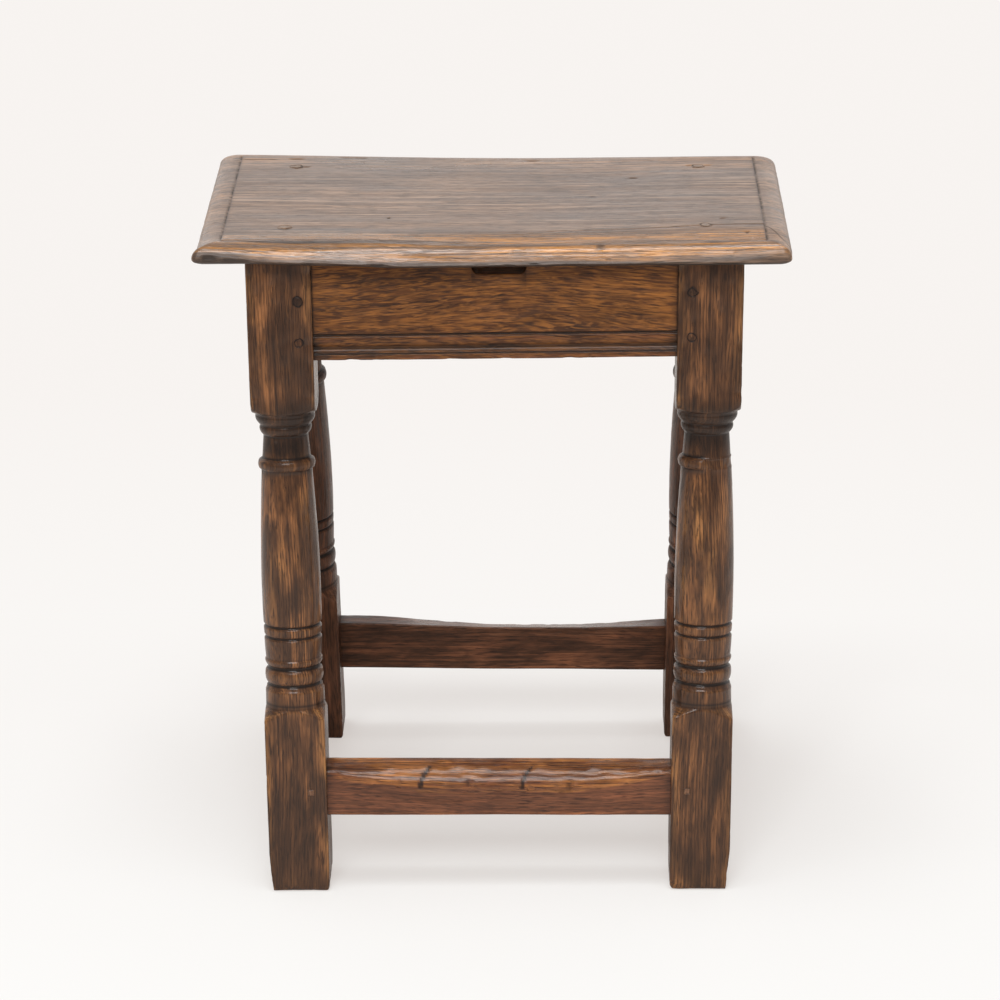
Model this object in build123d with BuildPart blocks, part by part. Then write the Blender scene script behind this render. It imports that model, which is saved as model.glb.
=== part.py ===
from build123d import *
from math import atan2, cos, degrees, hypot, sqrt
import os

# Joint stool in oak: four turned legs, four moulded rails under the seat and four
# stretchers near the floor, all mortised, tenoned and pegged, with a moulded seat
# board pegged down onto the leg tops.
#
# Millimetres. +Z is up, +X runs along the seat, +Y points to the back, and the
# origin lies on the floor under the middle of the seat.

# ---------------------------------------------------------------- seat board
seat_length = 460.0
seat_depth = 270.0
seat_height = 526.0
seat_thickness = 17.0
seat_front_corner_radius = 4.5
seat_back_corner_radius = 13.0
seat_side_overhang = 37.0
seat_front_overhang = 18.5
edge_moulding_width = 19.0
edge_quirk = 1.4
edge_nose_height = 6.0
edge_nose_top_drop = 4.5
edge_underside_round = 3.0

# ---------------------------------------------------------------- legs
# Inward lean to the sides and outward splay to front and back, seat to floor.
side_lean = 8.0
front_splay = 63.5
head_block = 50.0
foot_block = 48.0
block_arris = 1.5
foot_wear = 3.0
foot_wear_height = 7.0
head_block_length = 118.0
foot_block_length = 148.5

# Turning, from the foot block up and from the head block down (radius, heights).
shoulder_drop = 7.0
base_band_radius = 23.7
base_band_height = 9.5
cove_radius = 21.6
cove_height = 7.6
base_bead_radius = 23.6
base_bead_height = 13.0
base_groove_radius = 21.2
base_groove_height = 1.8
drum_radius = 23.0
drum_height = 32.0
incised_line_depth = 0.9
incised_line_height = 1.6
incised_line_gap = 8.0
belly_radius = 23.9
belly_share = 0.33
collar_radius = 19.8
ring_radius = 23.1
ring_height = 9.0
neck_radius = 17.7
neck_height = 20.0
neck_bead_radius = 20.8
neck_bead_height = 6.4
cup_foot_radius = 20.4
cup_radius = 25.6
cup_height = 10.5
cup_shoulder_height = 7.5

# ---------------------------------------------------------------- rails under the seat
rail_height = 79.0
rail_thickness = 24.0
rail_setback = 3.0
rail_moulding_height = 18.0
rail_moulding_depth = 2.6
rail_groove_width = 2.2
rail_groove_depth = 1.3
rail_tenon_offset = 12.0
rail_tenon_thickness = 10.0
rail_tenon_top_shoulder = 12.0
rail_tenon_bottom_shoulder = 8.0
notch_width = 42.6
notch_depth = 13.4
notch_centre_x = 3.4
notch_radius = 7.0

# ---------------------------------------------------------------- stretchers
stretcher_bottom = 60.0
stretcher_height = 40.0
back_stretcher_height = 43.5
stretcher_thickness = 22.0
stretcher_setback = 5.0
stretcher_tenon_offset = 11.5
stretcher_tenon_thickness = 9.0
stretcher_tenon_shoulder = 6.0
front_wear = 11.0
back_wear = 10.0
side_wear = 4.0
front_wear_length = 250.0
back_wear_length = 260.0
side_wear_length = 150.0

# ---------------------------------------------------------------- pegs and clearances
joint_clearance = 0.1
mortise_web = 1.0
peg_from_shoulder = 12.5
peg_proud = 0.7
peg_web = 1.2
peg_hole_clearance = 0.05
peg_tip_room = 1.0
rail_peg_radius = 3.6
rail_peg_tip_radius = 2.9
front_rail_peg_drops = (31.5, 64.0)
side_rail_peg_drops = (26.0, 58.5)
stretcher_peg_width = 6.2
stretcher_peg_taper = 1.2
front_stretcher_peg_height = 82.0
side_stretcher_peg_height = 73.0
seat_peg_radius = 5.0
seat_peg_tip_radius = 4.4
seat_peg_length = 36.0
seat_peg_sunk = 0.3
seat_peg_from_side = 29.0
seat_peg_from_front = 31.5

os.makedirs("parts", exist_ok=True)

# ---------------------------------------------------------------- shared geometry
# Distances of a leg's axis from the two middle planes, at the seat and at the floor.
leg_x_at_seat = seat_length / 2 - seat_side_overhang - head_block / 2
leg_x_at_floor = leg_x_at_seat - side_lean
leg_y_at_seat = seat_depth / 2 - seat_front_overhang - head_block / 2
leg_y_at_floor = leg_y_at_seat + front_splay
seat_underside = seat_height - seat_thickness
lean = atan2(leg_x_at_seat - leg_x_at_floor, seat_underside)
splay = atan2(leg_y_at_floor - leg_y_at_seat, seat_underside)
leg_length = hypot(
    seat_underside, leg_x_at_seat - leg_x_at_floor, leg_y_at_floor - leg_y_at_seat
)
rail_bottom = seat_underside - rail_height
stretcher_top = stretcher_bottom + stretcher_height
head_block_foot = leg_length - head_block_length
rail_tenon_length = head_block - rail_tenon_offset - rail_tenon_thickness - mortise_web
stretcher_tenon_length = (
    foot_block - stretcher_tenon_offset - stretcher_tenon_thickness - mortise_web
)

SIDES = {"left": -1, "right": 1}
ENDS = {"front": -1, "back": 1}


def leg_x(z):
    """Distance of a leg's axis from the YZ plane at height z."""
    return leg_x_at_floor + (leg_x_at_seat - leg_x_at_floor) * z / seat_underside


def leg_y(z):
    """Distance of a leg's axis from the XZ plane at height z."""
    return leg_y_at_floor + (leg_y_at_seat - leg_y_at_floor) * z / seat_underside


def front_face(z, block):
    """Distance from the XZ plane to the outer face of a leg's block at height z."""
    return leg_y(z) + block / 2 / cos(splay)


def side_face(z, block):
    """Distance from the YZ plane to the outer face of a leg's block at height z."""
    return leg_x(z) + block / 2 / cos(lean)


def leg_frame(sx, sy):
    """A leg's own plane: origin on the floor, z_dir up its axis, x_dir along the seat."""
    foot = Vector(sx * leg_x_at_floor, sy * leg_y_at_floor, 0)
    head = Vector(sx * leg_x_at_seat, sy * leg_y_at_seat, seat_underside)
    up = (head - foot).normalized()
    along = (Vector(1, 0, 0) - up * up.X).normalized()
    return Plane(origin=foot, x_dir=along, z_dir=up)


def inner_x_plane(sx, sy, block, depth):
    """Plane parallel to a leg's face towards the other side, depth inside the leg.
    Its normal points into the leg."""
    frame = leg_frame(sx, sy)
    point = frame.origin + frame.x_dir * (sx * (depth - block / 2))
    return Plane(origin=point, x_dir=frame.z_dir, z_dir=frame.x_dir * sx)


def inner_y_plane(sx, sy, block, depth):
    """As inner_x_plane, for the face towards the other end."""
    frame = leg_frame(sx, sy)
    point = frame.origin + frame.y_dir * (sy * (depth - block / 2))
    return Plane(origin=point, x_dir=frame.z_dir, z_dir=frame.y_dir * sy)


def bar_between(section_plane, points, reach, stops):
    """A bar of the given section, cut off at each plane in stops."""
    with BuildPart() as bar:
        with BuildSketch(section_plane):
            with BuildLine():
                Polyline(*points, close=True)
            make_face()
        extrude(amount=reach, both=True)
        for stop in stops:
            split(bisect_by=stop, keep=Keep.BOTTOM)
    return bar.part


def front_points(sy, block, low, high, near, far):
    """Section of a front or back bar: heights low to high, near to far inside the leg's face."""
    corners = ((near, low), (near, high), (far, high), (far, low))
    return [(sy * (front_face(z, block) - inset), z) for inset, z in corners]


def side_points(sx, block, low, high, near, far):
    """Section of a left or right bar."""
    corners = ((near, low), (near, high), (far, high), (far, low))
    return [(sx * (side_face(z, block) - inset), z) for inset, z in corners]


# The tenon sizes that rails and stretchers share with their mortises:
# block, low, high, offset from the leg's outer face, thickness, length.
RAIL_TENON = (
    head_block,
    rail_bottom + rail_tenon_bottom_shoulder,
    seat_underside - rail_tenon_top_shoulder,
    rail_tenon_offset,
    rail_tenon_thickness,
    rail_tenon_length,
)
STRETCHER_TENON = (
    foot_block,
    stretcher_bottom + stretcher_tenon_shoulder,
    stretcher_top - stretcher_tenon_shoulder - max(front_wear, back_wear) / 2,
    stretcher_tenon_offset,
    stretcher_tenon_thickness,
    stretcher_tenon_length,
)
FAR = seat_length


def end_tenon_bar(sy, tenon, grow=0.0, inside=0.0):
    """Both tenons of a front or back rail as one bar, grown all round by grow."""
    block, low, high, offset, thickness, length = tenon
    points = front_points(
        sy, block, low - grow, high + grow, offset - grow, offset + thickness + grow
    )
    stops = [inner_x_plane(sx, sy, block, length - inside + grow) for sx in (-1, 1)]
    return bar_between(Plane.YZ, points, FAR, stops)


def side_tenon_bar(sx, tenon, grow=0.0, inside=0.0):
    """Both tenons of a left or right rail as one bar, grown all round by grow."""
    block, low, high, offset, thickness, length = tenon
    points = side_points(
        sx, block, low - grow, high + grow, offset - grow, offset + thickness + grow
    )
    stops = [inner_y_plane(sx, sy, block, length - inside + grow) for sy in (-1, 1)]
    return bar_between(Plane.XZ, points, FAR, stops)


# ---------------------------------------------------------------- peg places
def end_peg_plane(sx, sy, block, z):
    """On a leg's front or back face, z_dir into the leg."""
    frame = leg_frame(sx, sy)
    x = sx * (leg_x(z) - block / 2 / cos(lean) + peg_from_shoulder)
    point = Vector(x, sy * front_face(z, block), z)
    return Plane(origin=point, x_dir=frame.x_dir, z_dir=frame.y_dir * -sy)


def side_peg_plane(sx, sy, block, z):
    """On a leg's left or right face, z_dir into the leg."""
    frame = leg_frame(sx, sy)
    y = sy * (leg_y(z) - block / 2 / cos(splay) + peg_from_shoulder)
    point = Vector(sx * side_face(z, block), y, z)
    return Plane(origin=point, x_dir=frame.y_dir, z_dir=frame.x_dir * -sx)


def seat_peg_plane(sx, sy):
    """On the seat's surface over a leg, z_dir down."""
    x = sx * (side_face(seat_underside, head_block) - seat_peg_from_side)
    y = sy * (front_face(seat_underside, head_block) - seat_peg_from_front)
    return Plane(origin=(x, y, seat_height), x_dir=(1, 0, 0), z_dir=(0, 0, -1))


def rail_peg_planes(sx, sy, facing):
    """The places of one rail joint's pegs; facing is end or side."""
    if facing == "end":
        heights = [seat_underside - drop for drop in front_rail_peg_drops]
        return [end_peg_plane(sx, sy, head_block, z) for z in heights]
    heights = [seat_underside - drop for drop in side_rail_peg_drops]
    return [side_peg_plane(sx, sy, head_block, z) for z in heights]


def stretcher_peg_plane(sx, sy, facing):
    """The place of one stretcher joint's peg."""
    if facing == "end":
        return end_peg_plane(sx, sy, foot_block, front_stretcher_peg_height)
    return side_peg_plane(sx, sy, foot_block, side_stretcher_peg_height)


rail_peg_depth = head_block - peg_from_shoulder - rail_peg_radius - peg_web
stretcher_peg_depth = foot_block - peg_from_shoulder - stretcher_peg_width / 2 - peg_web


def rail_peg(planes, grow=0.0, proud=peg_proud, depth=rail_peg_depth):
    """Tapered round pegs, or their holes when grown, as one part."""
    with BuildPart(*[plane.offset(-proud) for plane in planes]) as pegs:
        Cone(
            rail_peg_radius + grow,
            rail_peg_tip_radius + grow,
            depth + proud,
            align=(Align.CENTER, Align.CENTER, Align.MIN),
        )
    return pegs.part


def stretcher_peg(planes, grow=0.0, proud=peg_proud, depth=stretcher_peg_depth):
    """Tapered square pegs, or their holes when grown, as one part."""
    with BuildPart() as pegs:
        for plane in planes:
            with BuildSketch(plane.offset(-proud)):
                Rectangle(stretcher_peg_width + 2 * grow, stretcher_peg_width + 2 * grow)
            extrude(amount=depth + proud, taper=stretcher_peg_taper)
    return pegs.part


def seat_peg(planes, grow=0.0, sunk=seat_peg_sunk, length=seat_peg_length):
    """Round pegs through the seat board into the leg tops, or their holes when grown."""
    with BuildPart(*[plane.offset(sunk) for plane in planes]) as pegs:
        Cone(
            seat_peg_radius + grow,
            seat_peg_tip_radius + grow,
            length - sunk,
            align=(Align.CENTER, Align.CENTER, Align.MIN),
        )
    return pegs.part


def rail_peg_hole(planes):
    return rail_peg(planes, peg_hole_clearance, depth=rail_peg_depth + peg_tip_room)


def stretcher_peg_hole(planes):
    return stretcher_peg(
        planes, peg_hole_clearance, depth=stretcher_peg_depth + peg_tip_room
    )


def seat_peg_hole(planes):
    return seat_peg(planes, peg_hole_clearance, 0.0, seat_peg_length + peg_tip_room)


# ---------------------------------------------------------------- seat board
def seat_edge_outline(half_width):
    """Draws the board's section: thumbnail moulding and rounded nose on both edges."""
    arris = half_width - edge_moulding_width
    top = seat_height
    nose_top = top - edge_quirk - edge_nose_top_drop
    nose_bottom = nose_top - edge_nose_height
    nose_root = half_width - edge_nose_height / 2
    quirk_foot = (arris, top - edge_quirk)
    slope_middle = (arris + edge_moulding_width * 0.55, top - edge_quirk - 1.1)
    under = (nose_root - edge_underside_round, seat_underside)
    Polyline((0, top), (arris, top), quirk_foot)
    ThreePointArc(quirk_foot, slope_middle, (nose_root, nose_top))
    ThreePointArc(
        (nose_root, nose_top),
        (half_width, (nose_top + nose_bottom) / 2),
        (nose_root, nose_bottom),
    )
    Polyline((nose_root, nose_bottom), under, (0, seat_underside))
    mirror(about=Plane.YZ)


seat_peg_planes = [seat_peg_plane(sx, sy) for sx in (-1, 1) for sy in (-1, 1)]
seat_peg_holes = seat_peg_hole(seat_peg_planes)

with BuildPart() as seat_board:
    with BuildSketch(Plane.YZ):
        with BuildLine():
            seat_edge_outline(seat_depth / 2)
        make_face()
    extrude(amount=seat_length, both=True)
    with BuildSketch(Plane.XZ):
        with BuildLine():
            seat_edge_outline(seat_length / 2)
        make_face()
    extrude(amount=seat_depth, both=True, mode=Mode.INTERSECT)
    with BuildSketch(Plane.XY.offset(seat_underside)) as seat_plan:
        Rectangle(seat_length, seat_depth)
        fillet(seat_plan.vertices().group_by(Axis.Y)[0], seat_front_corner_radius)
        fillet(seat_plan.vertices().group_by(Axis.Y)[-1], seat_back_corner_radius)
    extrude(amount=seat_thickness, mode=Mode.INTERSECT)
    add(seat_peg_holes, mode=Mode.SUBTRACT)
seat_board.part.label = "seat_board"
export_step(seat_board.part, "parts/seat_board.step")

with BuildPart() as seat_pegs:
    add(seat_peg(seat_peg_planes))
seat_pegs.part.label = "seat_pegs"
export_step(seat_pegs.part, "parts/seat_pegs.step")


# ---------------------------------------------------------------- legs
def incised(radius, s):
    """Three points of a fine V line cut into a turned surface at height s."""
    half = incised_line_height / 2
    return [(radius, s - half), (radius - incised_line_depth, s), (radius, s + half)]


def turning_profile():
    """Draws the half outline of a leg: radius across, length up the axis."""
    outside = head_block
    band_foot = foot_block_length
    band_top = band_foot + base_band_height
    cove_top = band_top + cove_height
    bead_top = cove_top + base_bead_height
    groove_top = bead_top + base_groove_height
    drum_top = groove_top + drum_height
    cup_top = head_block_foot - cup_shoulder_height
    cup_foot = cup_top - cup_height
    neck_top = cup_foot - neck_bead_height
    ring_top = neck_top - neck_height
    ring_foot = ring_top - ring_height
    belly = drum_top + belly_share * (ring_foot - drum_top)
    line_low = drum_top - incised_line_gap
    # foot block with worn lower corners and a rounded shoulder
    Polyline(
        (0, -foot_block),
        (foot_block / sqrt(2) - foot_wear, -foot_block),
        (foot_block / sqrt(2) - foot_wear, 0),
        (foot_block / sqrt(2), foot_wear_height),
        (outside, foot_wear_height),
        (outside, band_foot - 2 * shoulder_drop),
        (foot_block / sqrt(2), band_foot - shoulder_drop),
    )
    ThreePointArc(
        (foot_block / sqrt(2), band_foot - shoulder_drop),
        (base_band_radius + shoulder_drop * 0.75, band_foot - shoulder_drop * 0.35),
        (base_band_radius, band_foot),
    )
    # plain band, stepped cove and base bead
    Polyline(
        (base_band_radius, band_foot),
        (base_band_radius, band_top),
        (cove_radius + 0.6, band_top + 0.8),
        (cove_radius + 0.6, band_top + cove_height / 2),
        (cove_radius, band_top + cove_height / 2),
        (cove_radius, cove_top),
    )
    ThreePointArc(
        (cove_radius, cove_top),
        (base_bead_radius, (cove_top + bead_top) / 2),
        (cove_radius, bead_top),
    )
    Polyline(
        (cove_radius, bead_top),
        (base_groove_radius, bead_top),
        (base_groove_radius, groove_top),
        (drum_radius, groove_top + base_groove_height / 2),
        *incised(drum_radius, groove_top + 2 * incised_line_height),
        *incised(drum_radius, line_low),
        *incised(drum_radius, drum_top),
    )
    # swelling baluster up to the ring
    Spline(
        (drum_radius, drum_top + incised_line_height / 2),
        (belly_radius, belly),
        (collar_radius, ring_foot),
        tangents=((0.25, 10), (-0.9, 10)),
    )
    ThreePointArc(
        (collar_radius, ring_foot),
        (ring_radius, (ring_foot + ring_top) / 2),
        (collar_radius - 0.4, ring_top),
    )
    # hollow neck, small bead and the cup under the head block
    ThreePointArc(
        (collar_radius - 0.4, ring_top),
        (neck_radius + 0.3, ring_top + neck_height * 0.55),
        (neck_radius, neck_top),
    )
    ThreePointArc(
        (neck_radius, neck_top),
        (neck_bead_radius, neck_top + neck_bead_height / 2),
        (cup_foot_radius - 1, cup_foot),
    )
    Line((cup_foot_radius - 1, cup_foot), (cup_foot_radius, cup_foot))
    ThreePointArc(
        (cup_foot_radius, cup_foot),
        (cup_radius - 1.5, cup_foot + cup_height * 0.45),
        (cup_radius, cup_top),
    )
    Polyline(
        (cup_radius, cup_top),
        (cup_radius - 1, cup_top + 0.9),
        (cup_radius + 4.5, head_block_foot - cup_shoulder_height / 2),
        (head_block / sqrt(2), head_block_foot),
        (outside, head_block_foot),
        (outside, leg_length + head_block),
        (0, leg_length + head_block),
        (0, -foot_block),
    )


def build_leg(sx, sy):
    frame = leg_frame(sx, sy)
    profile_plane = Plane(
        origin=frame.origin, x_dir=frame.x_dir, z_dir=frame.y_dir * -1
    )
    stock_change = head_block_foot - cup_shoulder_height - cup_height
    cutters = [seat_peg_hole([seat_peg_plane(sx, sy)])]
    for tenon in (RAIL_TENON, STRETCHER_TENON):
        cutters.append(end_tenon_bar(sy, tenon, joint_clearance))
        cutters.append(side_tenon_bar(sx, tenon, joint_clearance))
    for facing in ("end", "side"):
        cutters.append(rail_peg_hole(rail_peg_planes(sx, sy, facing)))
        cutters.append(stretcher_peg_hole([stretcher_peg_plane(sx, sy, facing)]))
    with BuildPart() as leg:
        with BuildSketch(frame.offset(-foot_block)):
            RectangleRounded(foot_block, foot_block, block_arris)
        extrude(amount=stock_change + foot_block)
        with BuildSketch(frame.offset(stock_change)):
            RectangleRounded(head_block, head_block, block_arris)
        extrude(amount=head_block_length + head_block)
        with BuildSketch(profile_plane):
            with BuildLine():
                turning_profile()
            make_face()
        revolve(axis=Axis(frame.origin, frame.z_dir), mode=Mode.INTERSECT)
        split(bisect_by=Plane.XY, keep=Keep.TOP)
        split(bisect_by=Plane.XY.offset(seat_underside), keep=Keep.BOTTOM)
        for cutter in cutters:
            add(cutter, mode=Mode.SUBTRACT)
    return leg.part


for end, sy in ENDS.items():
    for side, sx in SIDES.items():
        leg_part = build_leg(sx, sy)
        leg_part.label = f"leg_{end}_{side}"
        export_step(leg_part, f"parts/leg_{end}_{side}.step")


# ---------------------------------------------------------------- rails
def rail_section(place):
    """Draws a rail's section; place turns (inset from the leg's face, height) to a point."""
    top = seat_underside
    inner = rail_setback + rail_thickness
    groove = rail_bottom + rail_moulding_height
    groove_foot = groove - rail_groove_width
    bead_foot = rail_bottom + rail_moulding_height * 0.56
    hollow_foot = rail_bottom + rail_moulding_height * 0.28
    face = rail_setback
    deep = rail_setback + rail_moulding_depth
    Polyline(
        place(inner, rail_bottom),
        place(inner, top),
        place(face, top),
        place(face, groove),
        place(face + rail_groove_depth, groove - rail_groove_width / 2),
        place(face + 0.4, groove_foot),
    )
    ThreePointArc(
        place(face + 0.4, groove_foot),
        place(face, (groove_foot + bead_foot) / 2),
        place(face + rail_moulding_depth / 2, bead_foot),
    )
    ThreePointArc(
        place(face + rail_moulding_depth / 2, bead_foot),
        place(deep, (bead_foot + hollow_foot) / 2),
        place(face + rail_moulding_depth / 2, hollow_foot),
    )
    Polyline(
        place(face + rail_moulding_depth / 2, hollow_foot),
        place(face + rail_moulding_depth / 4, hollow_foot - 0.8),
        place(face + rail_moulding_depth / 4, rail_bottom),
        place(inner, rail_bottom),
    )


def build_end_rail(sy, notched):
    def place(inset, z):
        return (sy * (front_face(z, head_block) - inset), z)

    tenons = end_tenon_bar(sy, RAIL_TENON)
    holes = [rail_peg_hole(rail_peg_planes(sx, sy, "end")) for sx in (-1, 1)]
    with BuildPart() as rail:
        with BuildSketch(Plane.YZ):
            with BuildLine():
                rail_section(place)
            make_face()
        extrude(amount=FAR, both=True)
        for sx in (-1, 1):
            split(bisect_by=inner_x_plane(sx, sy, head_block, 0), keep=Keep.BOTTOM)
        add(tenons)
        if notched:
            with BuildSketch(Plane.XZ):
                with Locations((notch_centre_x, seat_underside)):
                    RectangleRounded(notch_width, 2 * notch_depth, notch_radius)
            extrude(amount=FAR, both=True, mode=Mode.SUBTRACT)
        for hole in holes:
            add(hole, mode=Mode.SUBTRACT)
    return rail.part


def build_side_rail(sx):
    def place(inset, z):
        return (sx * (side_face(z, head_block) - inset), z)

    tenons = side_tenon_bar(sx, RAIL_TENON)
    holes = [rail_peg_hole(rail_peg_planes(sx, sy, "side")) for sy in (-1, 1)]
    with BuildPart() as rail:
        with BuildSketch(Plane.XZ):
            with BuildLine():
                rail_section(place)
            make_face()
        extrude(amount=FAR, both=True)
        for sy in (-1, 1):
            split(bisect_by=inner_y_plane(sx, sy, head_block, 0), keep=Keep.BOTTOM)
        add(tenons)
        for hole in holes:
            add(hole, mode=Mode.SUBTRACT)
    return rail.part


for end, sy in ENDS.items():
    rail_part = build_end_rail(sy, notched=end == "front")
    rail_part.label = f"rail_{end}"
    export_step(rail_part, f"parts/rail_{end}.step")

for side, sx in SIDES.items():
    rail_part = build_side_rail(sx)
    rail_part.label = f"rail_{side}"
    export_step(rail_part, f"parts/rail_{side}.step")


# ---------------------------------------------------------------- stretchers
def wear_scoop(top, outer, inner, wear, length, across):
    """The hollow that feet wear into a stretcher's outer top edge, as a round cutter.
    outer and inner are the top edges' distances along across, which points outwards."""
    run = abs(outer - inner)
    slope = atan2(wear, run)
    chord = length / 2
    sagitta = wear * cos(slope)
    radius = (chord**2 + sagitta**2) / (2 * sagitta)
    down_slope = (across * run + Vector(0, 0, -wear)).normalized()
    normal = (across * wear + Vector(0, 0, run)).normalized()
    start = across * inner + Vector(0, 0, top)
    plane = Plane(
        origin=start + normal * radius,
        x_dir=down_slope.cross(normal),
        z_dir=down_slope,
    )
    with BuildPart(plane) as scoop:
        Cylinder(radius, 4 * run)
    return scoop.part


def build_end_stretcher(sy, height, wear, length):
    top = stretcher_bottom + height
    points = front_points(
        sy,
        foot_block,
        stretcher_bottom,
        top,
        stretcher_setback,
        stretcher_setback + stretcher_thickness,
    )
    stops = [inner_x_plane(sx, sy, foot_block, 0) for sx in (-1, 1)]
    outer = front_face(top, foot_block) - stretcher_setback
    inner = outer - stretcher_thickness
    body = bar_between(Plane.YZ, points, FAR, stops)
    tenons = end_tenon_bar(sy, STRETCHER_TENON)
    scoop = wear_scoop(top, outer, inner, wear, length, Vector(0, sy, 0))
    holes = stretcher_peg_hole([stretcher_peg_plane(sx, sy, "end") for sx in (-1, 1)])
    with BuildPart() as stretcher:
        add([body, tenons])
        add(scoop, mode=Mode.SUBTRACT)
        add(holes, mode=Mode.SUBTRACT)
    return stretcher.part


def build_side_stretcher(sx, wear, length):
    points = side_points(
        sx,
        foot_block,
        stretcher_bottom,
        stretcher_top,
        stretcher_setback,
        stretcher_setback + stretcher_thickness,
    )
    stops = [inner_y_plane(sx, sy, foot_block, 0) for sy in (-1, 1)]
    outer = side_face(stretcher_top, foot_block) - stretcher_setback
    inner = outer - stretcher_thickness
    body = bar_between(Plane.XZ, points, FAR, stops)
    tenons = side_tenon_bar(sx, STRETCHER_TENON)
    scoop = wear_scoop(stretcher_top, outer, inner, wear, length, Vector(sx, 0, 0))
    holes = stretcher_peg_hole([stretcher_peg_plane(sx, sy, "side") for sy in (-1, 1)])
    with BuildPart() as stretcher:
        add([body, tenons])
        add(scoop, mode=Mode.SUBTRACT)
        add(holes, mode=Mode.SUBTRACT)
    return stretcher.part


for end, height, wear, length in (
    ("front", stretcher_height, front_wear, front_wear_length),
    ("back", back_stretcher_height, back_wear, back_wear_length),
):
    stretcher_part = build_end_stretcher(ENDS[end], height, wear, length)
    stretcher_part.label = f"stretcher_{end}"
    export_step(stretcher_part, f"parts/stretcher_{end}.step")

for side, sx in SIDES.items():
    stretcher_part = build_side_stretcher(sx, side_wear, side_wear_length)
    stretcher_part.label = f"stretcher_{side}"
    export_step(stretcher_part, f"parts/stretcher_{side}.step")


# ---------------------------------------------------------------- joint pegs
for end, sy in ENDS.items():
    places = [plane for sx in (-1, 1) for plane in rail_peg_planes(sx, sy, "end")]
    pegs_part = rail_peg(places)
    pegs_part.label = f"rail_pegs_{end}"
    export_step(pegs_part, f"parts/rail_pegs_{end}.step")
    places = [stretcher_peg_plane(sx, sy, "end") for sx in (-1, 1)]
    pegs_part = stretcher_peg(places)
    pegs_part.label = f"stretcher_pegs_{end}"
    export_step(pegs_part, f"parts/stretcher_pegs_{end}.step")

for side, sx in SIDES.items():
    places = [plane for sy in (-1, 1) for plane in rail_peg_planes(sx, sy, "side")]
    pegs_part = rail_peg(places)
    pegs_part.label = f"rail_pegs_{side}"
    export_step(pegs_part, f"parts/rail_pegs_{side}.step")
    places = [stretcher_peg_plane(sx, sy, "side") for sy in (-1, 1)]
    pegs_part = stretcher_peg(places)
    pegs_part.label = f"stretcher_pegs_{side}"
    export_step(pegs_part, f"parts/stretcher_pegs_{side}.step")
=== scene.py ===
import math

import bmesh
import bpy
import numpy as np
from mathutils import Matrix, Vector


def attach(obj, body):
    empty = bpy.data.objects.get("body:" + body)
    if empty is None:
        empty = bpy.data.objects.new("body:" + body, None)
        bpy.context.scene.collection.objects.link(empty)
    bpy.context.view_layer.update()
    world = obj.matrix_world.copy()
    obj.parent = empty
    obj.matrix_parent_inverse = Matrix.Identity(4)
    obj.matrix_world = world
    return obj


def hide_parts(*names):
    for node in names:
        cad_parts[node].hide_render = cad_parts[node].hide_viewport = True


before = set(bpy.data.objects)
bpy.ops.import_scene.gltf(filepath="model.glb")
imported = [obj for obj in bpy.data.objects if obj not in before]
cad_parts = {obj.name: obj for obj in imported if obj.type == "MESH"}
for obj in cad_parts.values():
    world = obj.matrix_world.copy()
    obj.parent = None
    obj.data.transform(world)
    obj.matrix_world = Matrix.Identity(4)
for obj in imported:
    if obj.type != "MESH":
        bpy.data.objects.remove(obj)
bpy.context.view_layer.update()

# ============================================================ the four legs
# Riven oak, 50 mm square, turned between the blocks into a swelling baluster with a
# ring, a hollow neck and a stepped base. They splay to front and back, and lean in a
# little to the sides. The blocks' corners are rubbed round and the turnings dark.

# Sizes are in mm. Of each pair, the first is at the floor and the second under the seat.
UNDERSIDE = 509.0
LEG_X = (159.7, 168.0)
LEG_Y = (155.0, 91.5)
BACK_WIDER = (4.0, 2.0)
HEAD_HALF = 25.0
HEAD_FULLER = 0.45
FOOT_HALF = 24.0
MID_LEG = 300.0
# where the ring starts and ends, and the middles of the foot's shoulder and of the neck
RING_STARTS, RING_ENDS = (336.8, 338.2), (345.0, 346.6)
FOOT_SHOULDER, NECK = 149.0, 370.0
LEG_LENGTH = math.hypot(UNDERSIDE, LEG_X[1] - LEG_X[0], LEG_Y[1] - LEG_Y[0])
AROUND = 144

# The turned members from the foot block up: the height and radius at which each ends, and
# how far it swells (or hollows) between. A radius of 60 is clear of the square blocks.
TURNING_START = (131.0, 60.0)
TURNING = (
    (137.0, 36.0, 0.0), (146.2, 23.9, -1.2),        # shoulder of the foot block
    (158.6, 23.6, 0.0), (161.2, 22.5, 0.3),         # drum
    (163.2, 22.2, 0.0), (166.0, 21.8, -0.9),        # fillet and groove
    (176.2, 22.5, 1.1), (180.2, 21.6, -1.2),        # bead and groove
    (184.6, 22.9, 0.5), (186.6, 22.2, -0.6),        # half bead and a scored line
    (201.6, 22.95, 0.1), (204.8, 22.8, -1.5),       # band and a scored line
    (210.6, 23.1, 0.0), (213.8, 23.1, -1.6),        # band and a scored line
    (262.0, 23.35, 0.35), (337.2, 19.9, 0.4),       # belly, running up to the ring
    (338.2, 21.7, 0.0), (344.8, 21.7, 0.8),         # ring
    (346.4, 19.0, 0.0), (364.8, 17.6, 0.0),         # straight neck
    (372.7, 19.7, 1.8), (375.6, 22.3, 0.3),         # bead and fillet
    (380.8, 23.4, 0.7), (383.2, 24.8, 0.0),         # half bead
    (384.6, 29.5, 0.0), (387.0, 33.0, 0.3),         # rounded shoulder of the head block
    (392.0, 36.0, 0.3), (396.0, 60.0, 0.0),
)


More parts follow.
